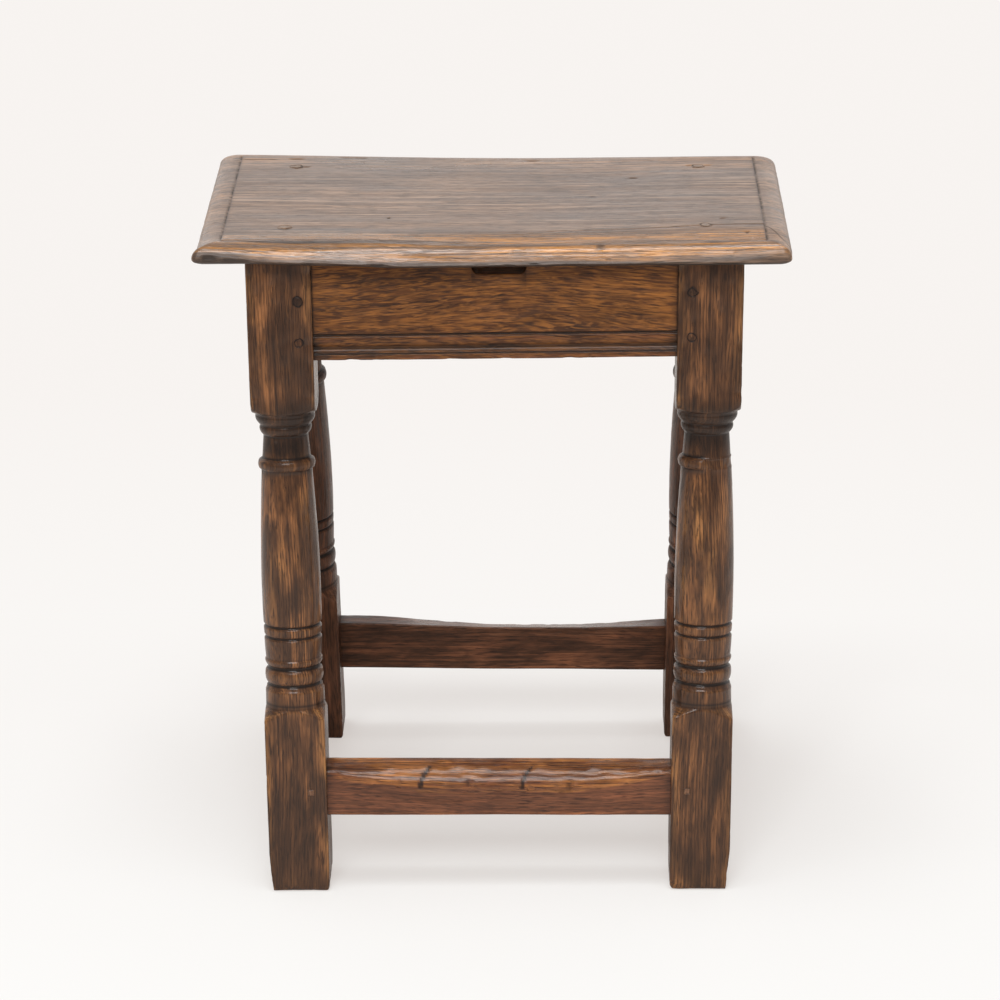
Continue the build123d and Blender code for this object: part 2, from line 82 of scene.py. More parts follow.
def turning_radius(z):
    """Radius of the turned outline at height z, mm."""
    low, radius_low = TURNING_START
    made = np.full_like(z, radius_low)
    for high, radius_high, swell in TURNING:
        t = np.clip((z - low) / (high - low), 0, 1)
        member = radius_low + (radius_high - radius_low) * t + swell * np.sin(math.pi * t) ** 0.7
        made = np.where(z >= low, member, made)
        low, radius_low = high, radius_high
    return made


def leg_x(z, back=0.0):
    """How far a leg's axis is from the middle; back is 0 at the front, 1 at the back."""
    t = z / UNDERSIDE
    front = LEG_X[0] + (LEG_X[1] - LEG_X[0]) * t
    return front + back * (BACK_WIDER[0] + (BACK_WIDER[1] - BACK_WIDER[0]) * t)


def leg_y(z):
    return LEG_Y[0] + (LEG_Y[1] - LEG_Y[0]) * z / UNDERSIDE


def leg_axes(sx, sy):
    """Origin on the floor and unit axes (along the seat, to the back, up the leg)."""
    back = (sy + 1) / 2
    foot = np.array([sx * leg_x(0.0, back), sy * LEG_Y[0], 0.0])
    head = np.array([sx * leg_x(UNDERSIDE, back), sy * LEG_Y[1], UNDERSIDE])
    up = (head - foot) / np.linalg.norm(head - foot)
    along = np.array([1.0, 0, 0]) - up * up[0]
    along /= np.linalg.norm(along)
    return foot, along, np.cross(up, along), up


def noise(points, size, seed=0):
    """Smooth noise from -1 to 1, with features about size mm across."""
    q = np.asarray(points, float) / np.asarray(size, float)
    cell = np.floor(q).astype(np.int64)
    f = q - cell
    f = f * f * (3 - 2 * f)
    total = np.zeros(q.shape[:-1])
    for dx in (0, 1):
        for dy in (0, 1):
            for dz in (0, 1):
                h = (cell[..., 0] + dx) * 374761393 + (cell[..., 1] + dy) * 668265263
                h = h + (cell[..., 2] + dz) * 1440662683 + (seed + 1) * 1274126177
                h = (h ^ (h >> 13)) * 1103515245
                h = ((h ^ (h >> 16)) & 0xFFFF) / 32767.5
                w = np.where(dx, f[..., 0], 1 - f[..., 0])
                w = w * np.where(dy, f[..., 1], 1 - f[..., 1])
                total += w * np.where(dz, f[..., 2], 1 - f[..., 2]) * h
    return total - 1


def rough(points, size, seed=0):
    """Noise of three sizes, each half as large and as strong as the last."""
    size = np.asarray(size, float)
    return sum(noise(points, size / 2**k, seed + 7 * k) / 2**k for k in range(3)) / 1.6


def step(x, low, high):
    """Smooth step from 0 at low to 1 at high."""
    t = np.clip((x - low) / (high - low), 0, 1)
    return t * t * (3 - 2 * t)


def bell(x, centre, width):
    """A smooth bump of height 1 at centre, fading over width."""
    return np.exp(-(((x - centre) / width) ** 2))


def quarter_round(t):
    """1 at t = 0, falling along a quarter circle to 0 at t = 1."""
    return 1 - np.sqrt(np.clip(1 - (1 - np.clip(t, 0, 1)) ** 2, 0, 1))


def finish_mesh(name, mesh, points, fields, nodes, smooth=True):
    """Moves the mesh to the points, gives it the wood's own coordinates, wear, and grime
    that also holds painted shade, turns its normals outward and hands it to the frame."""
    mesh.name = name
    places = np.ascontiguousarray(np.asarray(points) * 0.001, np.float32)
    mesh.vertices.foreach_set("co", places.ravel())
    for key, kind, value in (
        ("grain", "FLOAT_VECTOR", fields[0] * 0.001),
        ("wear", "FLOAT", fields[1]),
        ("grime_and_shade", "FLOAT", fields[2]),
    ):
        layer = mesh.attributes.new(key, kind, "POINT")
        word = "vector" if kind == "FLOAT_VECTOR" else "value"
        layer.data.foreach_set(word, np.ascontiguousarray(value, np.float32).ravel())
    bm = bmesh.new()
    bm.from_mesh(mesh)
    bmesh.ops.recalc_face_normals(bm, faces=bm.faces)
    for face in bm.faces:
        face.smooth = smooth
    bm.to_mesh(mesh)
    bm.free()
    piece = bpy.data.objects.new(name, mesh)
    bpy.context.scene.collection.objects.link(piece)
    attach(piece, "root")
    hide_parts(*nodes)
    return piece


def new_tree(name, sizes):
    """A geometry tree with one named input for each size; returns it and its inputs."""
    tree = bpy.data.node_groups.new(name, "GeometryNodeTree")
    face = tree.interface
    face.new_socket("Geometry", in_out="INPUT", socket_type="NodeSocketGeometry")
    for label, value in sizes.items():
        kind = "NodeSocketInt" if isinstance(value, int) else "NodeSocketFloat"
        face.new_socket(label, in_out="INPUT", socket_type=kind).default_value = value
    face.new_socket("Geometry", in_out="OUTPUT", socket_type="NodeSocketGeometry")
    return tree, add(tree, "NodeGroupInput", (-1000, 0)).outputs


def end_tree(tree, geometry, material):
    """Realizes the geometry, sets its material and gives it out."""
    real = add(tree, "GeometryNodeRealizeInstances", (1000, 0), {0: geometry}).outputs[0]
    dressed = add(
        tree, "GeometryNodeSetMaterial", (1200, 0), {"Geometry": real, "Material": material}
    ).outputs[0]
    tree.links.new(dressed, add(tree, "NodeGroupOutput", (1400, 0)).inputs[0])


def grow(name, mesh, tree, sizes):
    """Runs the tree over the mesh, and returns the result as a plain mesh."""
    source = bpy.data.objects.new(name, mesh)
    bpy.context.scene.collection.objects.link(source)
    modifier = source.modifiers.new(name, "NODES")
    modifier.node_group = tree
    keys = {s.name: s.identifier for s in tree.interface.items_tree if s.in_out == "INPUT"}
    for label, value in sizes.items():
        modifier[keys[label]] = value
    bpy.context.view_layer.update()
    graph = bpy.context.evaluated_depsgraph_get()
    plain = bpy.data.meshes.new_from_object(source.evaluated_get(graph))
    source.modifiers.remove(modifier)
    bpy.data.objects.remove(source)
    return plain


def places_of(mesh):
    """The mesh's vertices as an array, in mm."""
    places = np.zeros(len(mesh.vertices) * 3, np.float32)
    mesh.vertices.foreach_get("co", places)
    return places.reshape(-1, 3).astype(float) * 1000


def linear(code):
    """Linear RGBA from an sRGB hex colour."""
    parts = [int(code[i : i + 2], 16) / 255 for i in (1, 3, 5)]
    return tuple(
        v / 12.92 if v <= 0.04045 else ((v + 0.055) / 1.055) ** 2.4 for v in parts
    ) + (1.0,)


def add(tree, kind, place, inputs=None, **settings):
    """Adds one node; inputs maps a socket to a value, or to a socket to link from."""
    made = tree.nodes.new(kind)
    made.location = place
    for key, value in settings.items():
        setattr(made, key, value)
    for key, value in (inputs or {}).items():
        if isinstance(value, bpy.types.NodeSocket):
            tree.links.new(value, made.inputs[key])
        else:
            made.inputs[key].default_value = value
    return made


def ramp(tree, place, source, stops):
    """A colour ramp; stops are (position, hex colour or grey)."""
    made = add(tree, "ShaderNodeValToRGB", place, {"Fac": source})
    band = made.color_ramp
    while len(band.elements) < len(stops):
        band.elements.new(0.5)
    for element, (position, colour) in zip(band.elements, stops):
        element.position = position
        element.color = linear(colour) if isinstance(colour, str) else (colour,) * 3 + (1,)
    return made.outputs["Color"]


def mix(tree, place, factor, first, second, blend="MIX"):
    made = add(tree, "ShaderNodeMix", place, data_type="RGBA", blend_type=blend)
    for socket, value in ((0, factor), (6, first), (7, second)):
        if isinstance(value, bpy.types.NodeSocket):
            tree.links.new(value, made.inputs[socket])
        else:
            made.inputs[socket].default_value = value
    return made.outputs[2]


def math_node(tree, place, operation, first, second=0.0):
    made = add(tree, "ShaderNodeMath", place, {0: first, 1: second}, operation=operation)
    return made.outputs[0]


def grain_noise(tree, place, vector, scale, detail=2.0, distortion=0.0):
    """Noise over the wood's coordinates; scale is per metre (along, across, through)."""
    stretched = add(
        tree, "ShaderNodeVectorMath", place, {0: vector, 1: scale}, operation="MULTIPLY"
    )
    made = add(
        tree,
        "ShaderNodeTexNoise",
        (place[0] + 200, place[1]),
        {"Vector": stretched.outputs[0], "Scale": 1.0, "Detail": detail, "Distortion": distortion},
    )
    return made.outputs["Fac"]


def aged_oak(
    name, light, middle, dark, soil_and_shade, bare,
    figure=0.0, roughness=(0.34, 0.55), soiling=0.5, coat=0.12, gloss=0.35,
    ring_scale=80.0, ring_depth=0.75, wander=0.05, streak=0.5, run=18.0, across=95.0,
    contrast=1.0, blotch=0.5, patches=(9.0, 26.0, 26.0),
):
    """Old waxed oak. light to dark are the wood's tones, soil_and_shade the grime in hollows
    and the painted shade, bare the rubbed edges; figure adds the silvery ray flakes of
    quartered boards. Scales are per metre, so across=120 is a streak every 8 mm.
    ring_scale=120 sets the growth rings 2.6 mm apart. Pores are drawn 0.7 mm wide, twice
    their real width, to show."""
    material = bpy.data.materials.new(name)
    material.use_nodes = True
    tree = material.node_tree
    tree.nodes.clear()
    wood = add(tree, "ShaderNodeAttribute", (-1800, 0), attribute_name="grain").outputs["Vector"]
    wear = add(tree, "ShaderNodeAttribute", (-1800, -300), attribute_name="wear").outputs["Fac"]
    grime_and_shade = add(tree, "ShaderNodeAttribute", (-1800, -500), attribute_name="grime_and_shade").outputs["Fac"]

    # growth rings: narrow dark lines along the grain, bent by a slow noise, and slanting
    # through the wood so that they show on every face
    bend = grain_noise(tree, (-1600, 700), wood, (3.5, 16.0, 16.0), 1.0)
    through = add(tree, "ShaderNodeSeparateXYZ", (-1600, 850), {0: wood}).outputs[2]
    slant = math_node(tree, (-1250, 850), "ADD", math_node(
        tree, (-1400, 850), "MULTIPLY", through, 0.8), math_node(
        tree, (-1300, 700), "MULTIPLY", bend, wander))
    shift = add(tree, "ShaderNodeCombineXYZ", (-1150, 700), {0: 0.0, 1: slant, 2: 0.0})
    bent = add(
        tree, "ShaderNodeVectorMath", (-1000, 700), {0: wood, 1: shift.outputs[0]}, operation="ADD"
    ).outputs[0]
    lines = add(
        tree, "ShaderNodeTexWave", (-800, 700),
        {"Vector": bent, "Scale": ring_scale, "Distortion": 2.2, "Detail": 3.0,
         "Detail Scale": 0.35, "Detail Roughness": 0.6},
        wave_type="BANDS", bands_direction="Y", wave_profile="SIN",
    ).outputs["Fac"]
    lined = ramp(tree, (-600, 700), lines, ((0.05, 0.0), (0.45, 1.0)))
    faint = grain_noise(tree, (-1600, 550), wood, (16.0, 60.0, 60.0), 2.0)
    faint = ramp(tree, (-1200, 550), faint, ((0.38, 0.25), (0.60, 1.0)))
    lined = math_node(tree, (-400, 700), "SUBTRACT", 1.0, lined)
    lined = math_node(tree, (-250, 700), "MULTIPLY", lined, faint)
    lined = math_node(tree, (-100, 700), "MULTIPLY", lined, ring_depth)

    # broad and fine streaks along the grain, and open pores
    broad = grain_noise(tree, (-1600, 400), bent, (run, across, across * 0.95), 3.0)
    streaks = grain_noise(tree, (-1600, 250), bent, (run * 0.4, 430.0, 400.0), 3.0)
    pores = grain_noise(tree, (-1600, 100), bent, (75.0, 1500.0, 1500.0), 1.0, 0.3)
    pored = ramp(tree, (-1200, 100), pores, ((0.54, 0.0), (0.64, 1.0)))
    both = math_node(tree, (-900, 350), "ADD", math_node(
        tree, (-1050, 400), "MULTIPLY", broad, 1.0 - streak), math_node(
        tree, (-1050, 250), "MULTIPLY", streaks, streak))
    spread = 0.085 / contrast
    tones = ((0.5 - spread, dark), (0.50, middle), (0.5 + spread, light))
    colour = ramp(tree, (-700, 300), both, tones)

    # rubbed edges go pale, with their grain still showing
    scuff = grain_noise(tree, (-1600, -300), wood, (40.0, 160.0, 160.0), 3.0)
    bared = add(
        tree, "ShaderNodeMath", (-900, -300), {0: scuff, 1: 3.0, 2: -0.5}, operation="MULTIPLY_ADD"
    ).outputs[0]
    bared = add(
        tree, "ShaderNodeMath", (-500, -300), {0: bared, 1: wear},
        operation="MULTIPLY", use_clamp=True,
    ).outputs[0]
    rubbed = ramp(tree, (-700, 100), both, ((0.43, middle), (0.58, bare)))
    colour = mix(tree, (-450, 350), bared, colour, rubbed)
    colour = mix(tree, (-300, 350), lined, colour, linear(dark))

    # slow change of tone over the board
    patch = grain_noise(tree, (-1600, -100), wood, patches, 3.0, 0.6)
    patched = ramp(tree, (-1200, -100), patch, ((0.38, 1.0), (0.56, 0.0)))
    patched = math_node(tree, (-900, -100), "MULTIPLY", patched, blotch)
    colour = mix(tree, (-100, 300), patched, colour, linear(dark))

    # ray flakes, paler and shinier than the wood round them
    flakes = grain_noise(tree, (-1600, -700), bent, (50.0, 360.0, 180.0), 2.0, 1.6)
    flaked = ramp(tree, (-1200, -700), flakes, ((0.44, 0.0), (0.66, 1.0)))
    flaked = math_node(tree, (-900, -700), "MULTIPLY", flaked, figure)
    colour = mix(tree, (50, 250), flaked, colour, linear(light))
    pores_seen = math_node(tree, (50, 50), "MULTIPLY", pored, 0.7)
    colour = mix(tree, (200, 200), pores_seen, colour, linear(soil_and_shade))

    # handled patches and hollows go dark, and so does the painted shade that the
    # grime_and_shade attribute carries with the dirt; dirty below holds both
    dirt = grain_noise(tree, (-1600, -500), wood, (38.0, 95.0, 95.0), 4.0, 0.5)
    dirty = ramp(tree, (-1200, -500), dirt, ((0.52, 0.0), (0.68, 1.0)))
    dirty = math_node(tree, (-900, -500), "MULTIPLY", dirty, soiling)
    dirty = math_node(tree, (-700, -500), "MAXIMUM", dirty, grime_and_shade)
    stain_and_shade = ramp(tree, (300, 0), dirty, ((0.25, dark), (0.8, soil_and_shade)))
    colour = mix(tree, (500, 100), dirty, colour, stain_and_shade)

    # rubbed wood is shinier, and dirt and painted shade are dull
    shine = add(
        tree, "ShaderNodeMapRange", (200, -100),
        {"Value": patch, "From Min": 0.3, "From Max": 0.7,
         "To Min": roughness[0], "To Max": roughness[1]},
    ).outputs[0]
    polished = math_node(tree, (350, -100), "SUBTRACT", shine, math_node(
        tree, (200, -200), "MULTIPLY", bared, 0.2))
    polished = math_node(tree, (500, -100), "ADD", polished, math_node(
        tree, (350, -200), "MULTIPLY", grime_and_shade, 0.28))
    height = math_node(tree, (200, -300), "MULTIPLY", math_node(
        tree, (50, -300), "MAXIMUM", pored, lined), -0.7)
    height = math_node(tree, (350, -300), "ADD", height, math_node(
        tree, (200, -450), "MULTIPLY", streaks, 0.5))
    bump = add(
        tree, "ShaderNodeBump", (500, -300),
        {"Height": height, "Strength": 0.35, "Distance": 0.0006},
    )
    shader = add(
        tree, "ShaderNodeBsdfPrincipled", (750, 0),
        {
            "Base Color": colour,
            "Roughness": polished,
            "Normal": bump.outputs[0],
            "Coat Weight": coat,
            "Coat Roughness": 0.13,
            "Specular IOR Level": gloss,
        },
    )
    output = add(tree, "ShaderNodeOutputMaterial", (1050, 0))
    tree.links.new(shader.outputs[0], output.inputs[0])
    return material


# rubbed dark and waxed: a low soft sheen, with bare golden wood on the belly
leg_oak = aged_oak(
    "dark waxed oak of the legs", "#9b673e", "#634027", "#352114", "#170e09", "#9f6f40",
    soiling=0.55, coat=0.35, gloss=0.15, streak=0.42, ring_depth=0.7, ring_scale=120.0, run=24.0,
    across=120.0, wander=0.02, contrast=0.6, blotch=0.65, patches=(14.0, 40.0, 40.0),
)

FINE_STEP = 0.25


def softened(values, spread, reach):
    """The values averaged over a bell of this spread in mm, out to reach steps."""
    kernel = np.exp(-0.5 * (np.arange(-reach, reach + 1) * FINE_STEP / spread) ** 2)
    return np.convolve(np.pad(values, reach, mode="edge"), kernel / kernel.sum(), "valid")


# the outline with its edges rubbed, and where it is hollow or proud of what is round it
fine = np.arange(-20, 540, FINE_STEP)
outline = softened(turning_radius(fine), 0.35, 12)
capped = np.minimum(outline, HEAD_HALF + 0.5)
around = softened(capped, 4.0, 48)
hollow = np.clip((around - capped) / 0.95, 0, 1)
proud = np.clip((capped - around) / 1.2, 0, 1)

# heights of the mesh's rings, close together where the leg is turned
stations = [0.0]
while stations[-1] < UNDERSIDE:
    z = stations[-1]
    busy = 130 < z < 215 or 336 < z < 400
    stations.append(min(z + (0.55 if busy or z < 6 else 2.6), UNDERSIDE))
stations = np.array(stations)


# the power of the soft minimum where the turning meets the blocks
MEETING = 40.0


def leg_tree(material):
    """Sweeps a ring of points up the leg, and sets each to the lesser of the turned radius
    and the square block's, with a slightly soft meeting."""
    tree, given = new_tree(
        "turned leg",
        {"Foot Half": 0.024, "Head Half": 0.0255, "Blocks Part": MID_LEG * 0.001,
         "Corner": 40.0, "Around": AROUND},
    )
    path = add(tree, "GeometryNodeMeshToCurve", (-800, 300), {"Mesh": given["Geometry"]}).outputs[0]
    ring = add(
        tree, "GeometryNodeCurvePrimitiveCircle", (-800, 150),
        {"Resolution": given["Around"], "Radius": 1.0}, mode="RADIUS",
    ).outputs[0]
    tube = add(
        tree, "GeometryNodeCurveToMesh", (-600, 300),
        {"Curve": path, "Profile Curve": ring, "Fill Caps": True},
    ).outputs[0]
    place = add(tree, "GeometryNodeInputPosition", (-1000, -200)).outputs[0]
    x, y, z = add(tree, "ShaderNodeSeparateXYZ", (-850, -200), {0: place}).outputs
    # crowd the points towards the four corners
    angle = math_node(tree, (-700, -200), "ARCTAN2", y, x)
    crowd = math_node(tree, (-550, -300), "SINE", math_node(
        tree, (-700, -300), "MULTIPLY", angle, 4.0))
    angle = math_node(tree, (-400, -200), "ADD", angle, math_node(
        tree, (-500, -400), "MULTIPLY", crowd, 0.15))
    cosine = math_node(tree, (-250, -150), "COSINE", angle)
    sine = math_node(tree, (-250, -300), "SINE", angle)
    powers = math_node(tree, (50, -200), "ADD", *(
        math_node(tree, (-100, -200), "POWER", math_node(
            tree, (-180, -200), "ABSOLUTE", v), given["Corner"])
        for v in (cosine, sine)
    ))
    in_foot = math_node(tree, (-250, -500), "LESS_THAN", z, given["Blocks Part"])
    half = add(
        tree, "ShaderNodeMapRange", (-100, -500),
        {"Value": in_foot, "To Min": given["Head Half"], "To Max": given["Foot Half"]},
    ).outputs[0]
    inverse = math_node(tree, (50, -400), "DIVIDE", -1.0, given["Corner"])
    square = math_node(tree, (250, -300), "MULTIPLY", half, math_node(
        tree, (150, -300), "POWER", powers, inverse))
    turned = add(
        tree, "GeometryNodeInputNamedAttribute", (50, -600), {"Name": "turned"}, data_type="FLOAT"
    ).outputs["Attribute"]
    share = math_node(tree, (350, -500), "POWER", math_node(
        tree, (250, -500), "DIVIDE", square, turned), MEETING)
    radius = math_node(tree, (600, -300), "MULTIPLY", square, math_node(
        tree, (500, -400), "POWER",
        math_node(tree, (400, -400), "ADD", share, 1.0), -1.0 / MEETING))
    moved = add(
        tree, "ShaderNodeCombineXYZ", (750, -200),
        {0: math_node(tree, (650, -150), "MULTIPLY", radius, cosine),
         1: math_node(tree, (650, -250), "MULTIPLY", radius, sine), 2: z},
    ).outputs[0]
    leg = add(
        tree, "GeometryNodeSetPosition", (850, 100), {"Geometry": tube, "Position": moved}
    ).outputs[0]
    end_tree(tree, leg, material)
    return tree


def make_leg(name, sx, sy, seed, material):
    path = bpy.data.meshes.new(name + " path")
    path.from_pydata(
        [(0, 0, v * 0.001) for v in stations], [(i, i + 1) for i in range(len(stations) - 1)], []
    )
    layer = path.attributes.new("turned", "FLOAT", "POINT")
    layer.data.foreach_set("value", (np.interp(stations, fine, outline) * 0.001).astype(np.float32))
    mesh = grow(name, path, leg_tree(material), {
        "Foot Half": FOOT_HALF * 0.001, "Head Half": (HEAD_HALF + HEAD_FULLER) * 0.001,
        "Around": AROUND,
    })
    base = places_of(mesh)
    origin, along, across, up = leg_axes(sx, sy)
    z, theta = base[:, 2], np.arctan2(base[:, 1], base[:, 0])
    radius = np.hypot(base[:, 0], base[:, 1])
    turned = np.interp(z, fine, outline)
    half = np.where(z < MID_LEG, FOOT_HALF, HEAD_HALF + HEAD_FULLER)
    local = np.stack([np.cos(theta) * 30, np.sin(theta) * 30, z], -1) + seed * 97.0
    c, s = np.abs(np.cos(theta)), np.abs(np.sin(theta))
    on_block = step(turned - radius, 0.2, 1.5)
    # the feet are rubbed and chipped at the floor
    low = step(z, 26, 0)
    corner = bell(c - s, 0, 0.16)
    chip = np.clip(rough(local, (16, 16, 9), seed + 5) - 0.25, 0, 1) * corner
    worn = radius * 0.02 * low * (0.6 + 0.6 * rough(local, (18, 18, 14), seed + 3))
    worn = worn + 4.5 * chip * (0.35 + low * 1.6)
    worn = worn + 3.5 * quarter_round(z / 5.5)
    radius = radius - worn * on_block
    ring = step(z, *RING_STARTS) * (1 - step(z, *RING_ENDS))
    gone = 0.0 * z
    if (sx, sy) == (1, -1):
        # the ring is knocked off round the front and right of this leg
        ragged = 0.14 * noise(local, 6, 31)
        gone = step(theta % (2 * math.pi) - math.radians(258) + ragged, 0.0, 0.16)
        gone = np.maximum(gone, 1 - step(theta % (2 * math.pi), 0.9, 1.2))
        flat = np.interp(z, (336, 347), (20.0, 19.0)) + 0.35 * noise(local, 4, 8)
        radius = radius + gone * ring * (flat - radius)
    radius = radius + 0.22 * noise(local, 34, seed + 9) + 0.07 * noise(local, 7, seed + 11)
    nicks = np.clip(noise(local, (5, 5, 8), seed + 13) - 0.62, 0, 1)
    radius = radius - 1.6 * nicks
    dx, dy = radius * np.cos(theta), radius * np.sin(theta)
    if sy < 0:
        # the outer corner of each front foot is worn and broken away at the floor
        tall = 46.0
        broken_by = (4.6 if sx > 0 else 3.8) * np.clip(1 - z / tall, 0, 1) ** 1.4
        limit = FOOT_HALF + 1.0 - broken_by * (1 + 0.35 * rough(local, (9, 9, 7), seed + 17))
        dx = sx * np.where(z < tall, np.minimum(dx * sx, limit), dx * sx)
    # along the leg, cut level at the floor and under the seat
    length = z * LEG_LENGTH / UNDERSIDE
    fall = -(dx * along[2] + dy * across[2]) / up[2]
    ends = step(z, 40, 0) + step(z, UNDERSIDE - 40, UNDERSIDE)
    length = length + fall * ends
    points = origin + length[:, None] * up + dx[:, None] * along + dy[:, None] * across
    grain = np.stack([z, dx, dy], -1) + np.array([seed * 311.0, seed * 53.0, seed * 29.0])
    on_face = np.clip((turned - half) / 6, 0, 1)
    wear = np.interp(z, fine, proud) * np.where(z > 330, 0.35, 0.7)
    wear = wear + corner * on_face * 0.75 + 0.25 * low
    shoulder = bell(z - 5.5 * np.abs(c - s), 142, 2.2)
    wear = np.clip(wear + 0.2 * shoulder, 0, 1)
    # the belly is rubbed golden, the neck is darker and the foot is greyer
    belly = step(z, 205, 240) * step(z, 335, 300)
    wear = wear + belly * np.clip(0.25 + 0.7 * noise(local, (20, 20, 45), seed + 19), 0, 0.7)
    wear = np.clip(wear, 0, 1)
    bare = gone * step(z, 332, 336) * (1 - step(z, 347, 351))
    grime_and_shade = np.interp(z, fine, hollow) * 0.95 * (1 - bare)
    grime_and_shade = np.maximum(grime_and_shade, 0.8 * bell(z, FOOT_SHOULDER, 1.6))
    darkening = 0.8 + 0.25 * noise(local, (22, 22, 16), seed + 21)
    grime_and_shade = np.maximum(grime_and_shade, darkening * np.exp(-(((z - NECK) / 27) ** 4)))
    grime_and_shade = np.maximum(grime_and_shade, 0.35 * step(z, 470, 509))
    grime_and_shade = np.maximum(grime_and_shade, 0.4 * ring * (1 - gone))
    stained = np.clip(0.26 + 0.07 * sx + 0.6 * rough(local, (24, 24, 40), seed + 23), 0, 0.7)
    grime_and_shade = np.maximum(grime_and_shade, stained * (1 - step(z, 120, 150) + step(z, 390, 400)))
    grime_and_shade = np.maximum(grime_and_shade, 1.8 * nicks)
    grime_and_shade = np.clip(grime_and_shade, 0, 0.95)
    finish_mesh(name, mesh, points, [grain, wear, grime_and_shade], [name])


# the legs' oak made darker for the pieces at the back, as painted shade; also duller,
# redder and more even
shaded_back_oak = aged_oak(
    "dark waxed oak at the back, with painted shade", "#87553a", "#5e3c29", "#382317", "#1a110c", "#87593f",
    soiling=0.5, figure=0.15, coat=0.15, gloss=0.15, ring_depth=0.4,
    run=24.0, wander=0.02, contrast=0.8,
)

make_leg("leg_front_left", -1, -1, 1, leg_oak)
make_leg("leg_front_right", 1, -1, 2, leg_oak)
# the back legs take the darker oak, as painted shade
make_leg("leg_back_left", -1, 1, 3, shaded_back_oak)
make_leg("leg_back_right", 1, 1, 4, shaded_back_oak)

# ============================================================ the four stretchers
# Square oak bars low down between the legs. Feet have worn the front one's top edge
# to a long broken bevel with gouges, and the back one's to a shallow dip.

STRETCHER_LOW = 60.0
STRETCHER_DEPTH = 22.0
STRETCHER_SETBACK = 5.0

# cosines of the legs' lean and splay: a level cut through a block is wider by them
LEAN = math.cos(math.atan2(LEG_X[1] - LEG_X[0], UNDERSIDE))
SPLAY = math.cos(math.atan2(LEG_Y[0] - LEG_Y[1], UNDERSIDE))


def rounded(corners):
    """Closed outline through corners (across, height, corner radius), arcs in 5 parts."""
    made = []
    count = len(corners)
    for i, (a, b, r) in enumerate(corners):
        here = np.array([a, b], float)
        before = np.array(corners[i - 1][:2], float) - here
        after = np.array(corners[(i + 1) % count][:2], float) - here
        if r <= 0:
            made.append(here)
            continue
        before /= np.linalg.norm(before)
        after /= np.linalg.norm(after)
        for t in np.linspace(0, 1, 6):
            made.append(here + before * r * (1 - t) ** 2 + after * r * t**2)
    return np.array(made)


def evenly(outline_points, gap):
    """The closed outline with points added so that none is further apart than gap."""
    made = []
    for here, after in zip(outline_points, np.roll(outline_points, -1, 0)):
        parts = max(1, int(math.ceil(np.linalg.norm(after - here) / gap)))
        made += [here + (after - here) * k / parts for k in range(parts)]
    return np.array(made)


def outward(section):
    """Unit normals of a closed section, pointing out of it."""
    tangent = np.roll(section, -1, 0) - np.roll(section, 1, 0)
    normal = np.stack([tangent[:, 1], -tangent[:, 0]], -1)
    normal /= np.linalg.norm(normal, axis=1)[:, None] + 1e-9
    x, y = section.T
    area = np.sum(x * np.roll(y, -1) - np.roll(x, -1) * y)
    return normal if area > 0 else -normal


def bar_grid(section, gap, half_length):
    """Section inset and height, place along from -1 to 1, and outward normals."""
    runs = np.linspace(-1, 1, int(2 * half_length / gap) + 1)
    inset = np.broadcast_to(section[:, 0], (len(runs), len(section))).copy()
    height = np.broadcast_to(section[:, 1], (len(runs), len(section))).copy()
    run = np.broadcast_to(runs[:, None], inset.shape).copy()
    normal = np.broadcast_to(outward(section), inset.shape + (2,))
    return inset, height, run, normal


def end_bar_points(inset, height, run, sy, half, shoulder=1.2):
    """Points of a front or back bar; half is half the leg's block."""
    x = run * (leg_x(height, (sy + 1) / 2) - half / LEAN + shoulder)
    y = sy * (leg_y(height) + half / SPLAY - inset)
    return np.stack([x, y, height], -1)


def side_bar_points(inset, height, run, sx, half, shoulder=1.2):
    """Points of a left or right bar."""
    y = run * (leg_y(height) - half / SPLAY + shoulder)
    x = sx * (leg_x(height, (run + 1) / 2) + half / LEAN - inset)
    return np.stack([x, y, height], -1)


def quads_of(index, wrap=False):
    """Four-sided faces between the rows of a grid of point numbers."""
    a, b = index[:-1], index[1:]
    if wrap:
        return np.stack([a, np.roll(a, -1, 1), np.roll(b, -1, 1), b], -1).reshape(-1, 4)
    return np.stack([a[:, :-1], a[:, 1:], b[:, 1:], b[:, :-1]], -1).reshape(-1, 4)


def make_piece(name, rings, grain, wear, grime_and_shade, node, material):
    """A closed mesh over rings of points (mm), with the wood's own coordinates."""
    m, n = rings.shape[:2]
    points = rings.reshape(-1, 3)
    index = np.arange(m * n).reshape(m, n)
    fields = [np.asarray(v, float).reshape(m * n, -1) for v in (grain, wear, grime_and_shade)]
    faces = quads_of(index, True).tolist()
    for row in (index[0], index[-1]):
        centre = len(points)
        points = np.vstack([points, points[row].mean(0)])
        fields = [np.vstack([v, v[row].mean(0)]) for v in fields]
        faces += [[row[j], row[(j + 1) % n], centre] for j in range(n)]
    return finish_piece(name, points, faces, fields, [node], material)


def finish_piece(name, points, faces, fields, nodes, material):
    """Makes a mesh of points in mm, and finishes it."""
    mesh = bpy.data.meshes.new(name)
    mesh.from_pydata((np.asarray(points) * 0.001).tolist(), [], faces)
    mesh.materials.append(material)
    return finish_mesh(name, mesh, points, fields, nodes)


# reddish and scuffed, with fine streaks, and bare gold where feet have rubbed it
stretcher_oak = aged_oak(
    "reddish waxed oak of the stretchers", "#8e563a", "#67402b", "#402519", "#180e0a", "#bd7c42",
    soiling=0.35, figure=0.3, coat=0.25, gloss=0.15, streak=0.6,
    ring_depth=0.35, run=22.0, wander=0.02,
    contrast=0.4, patches=(14.0, 40.0, 40.0),
)


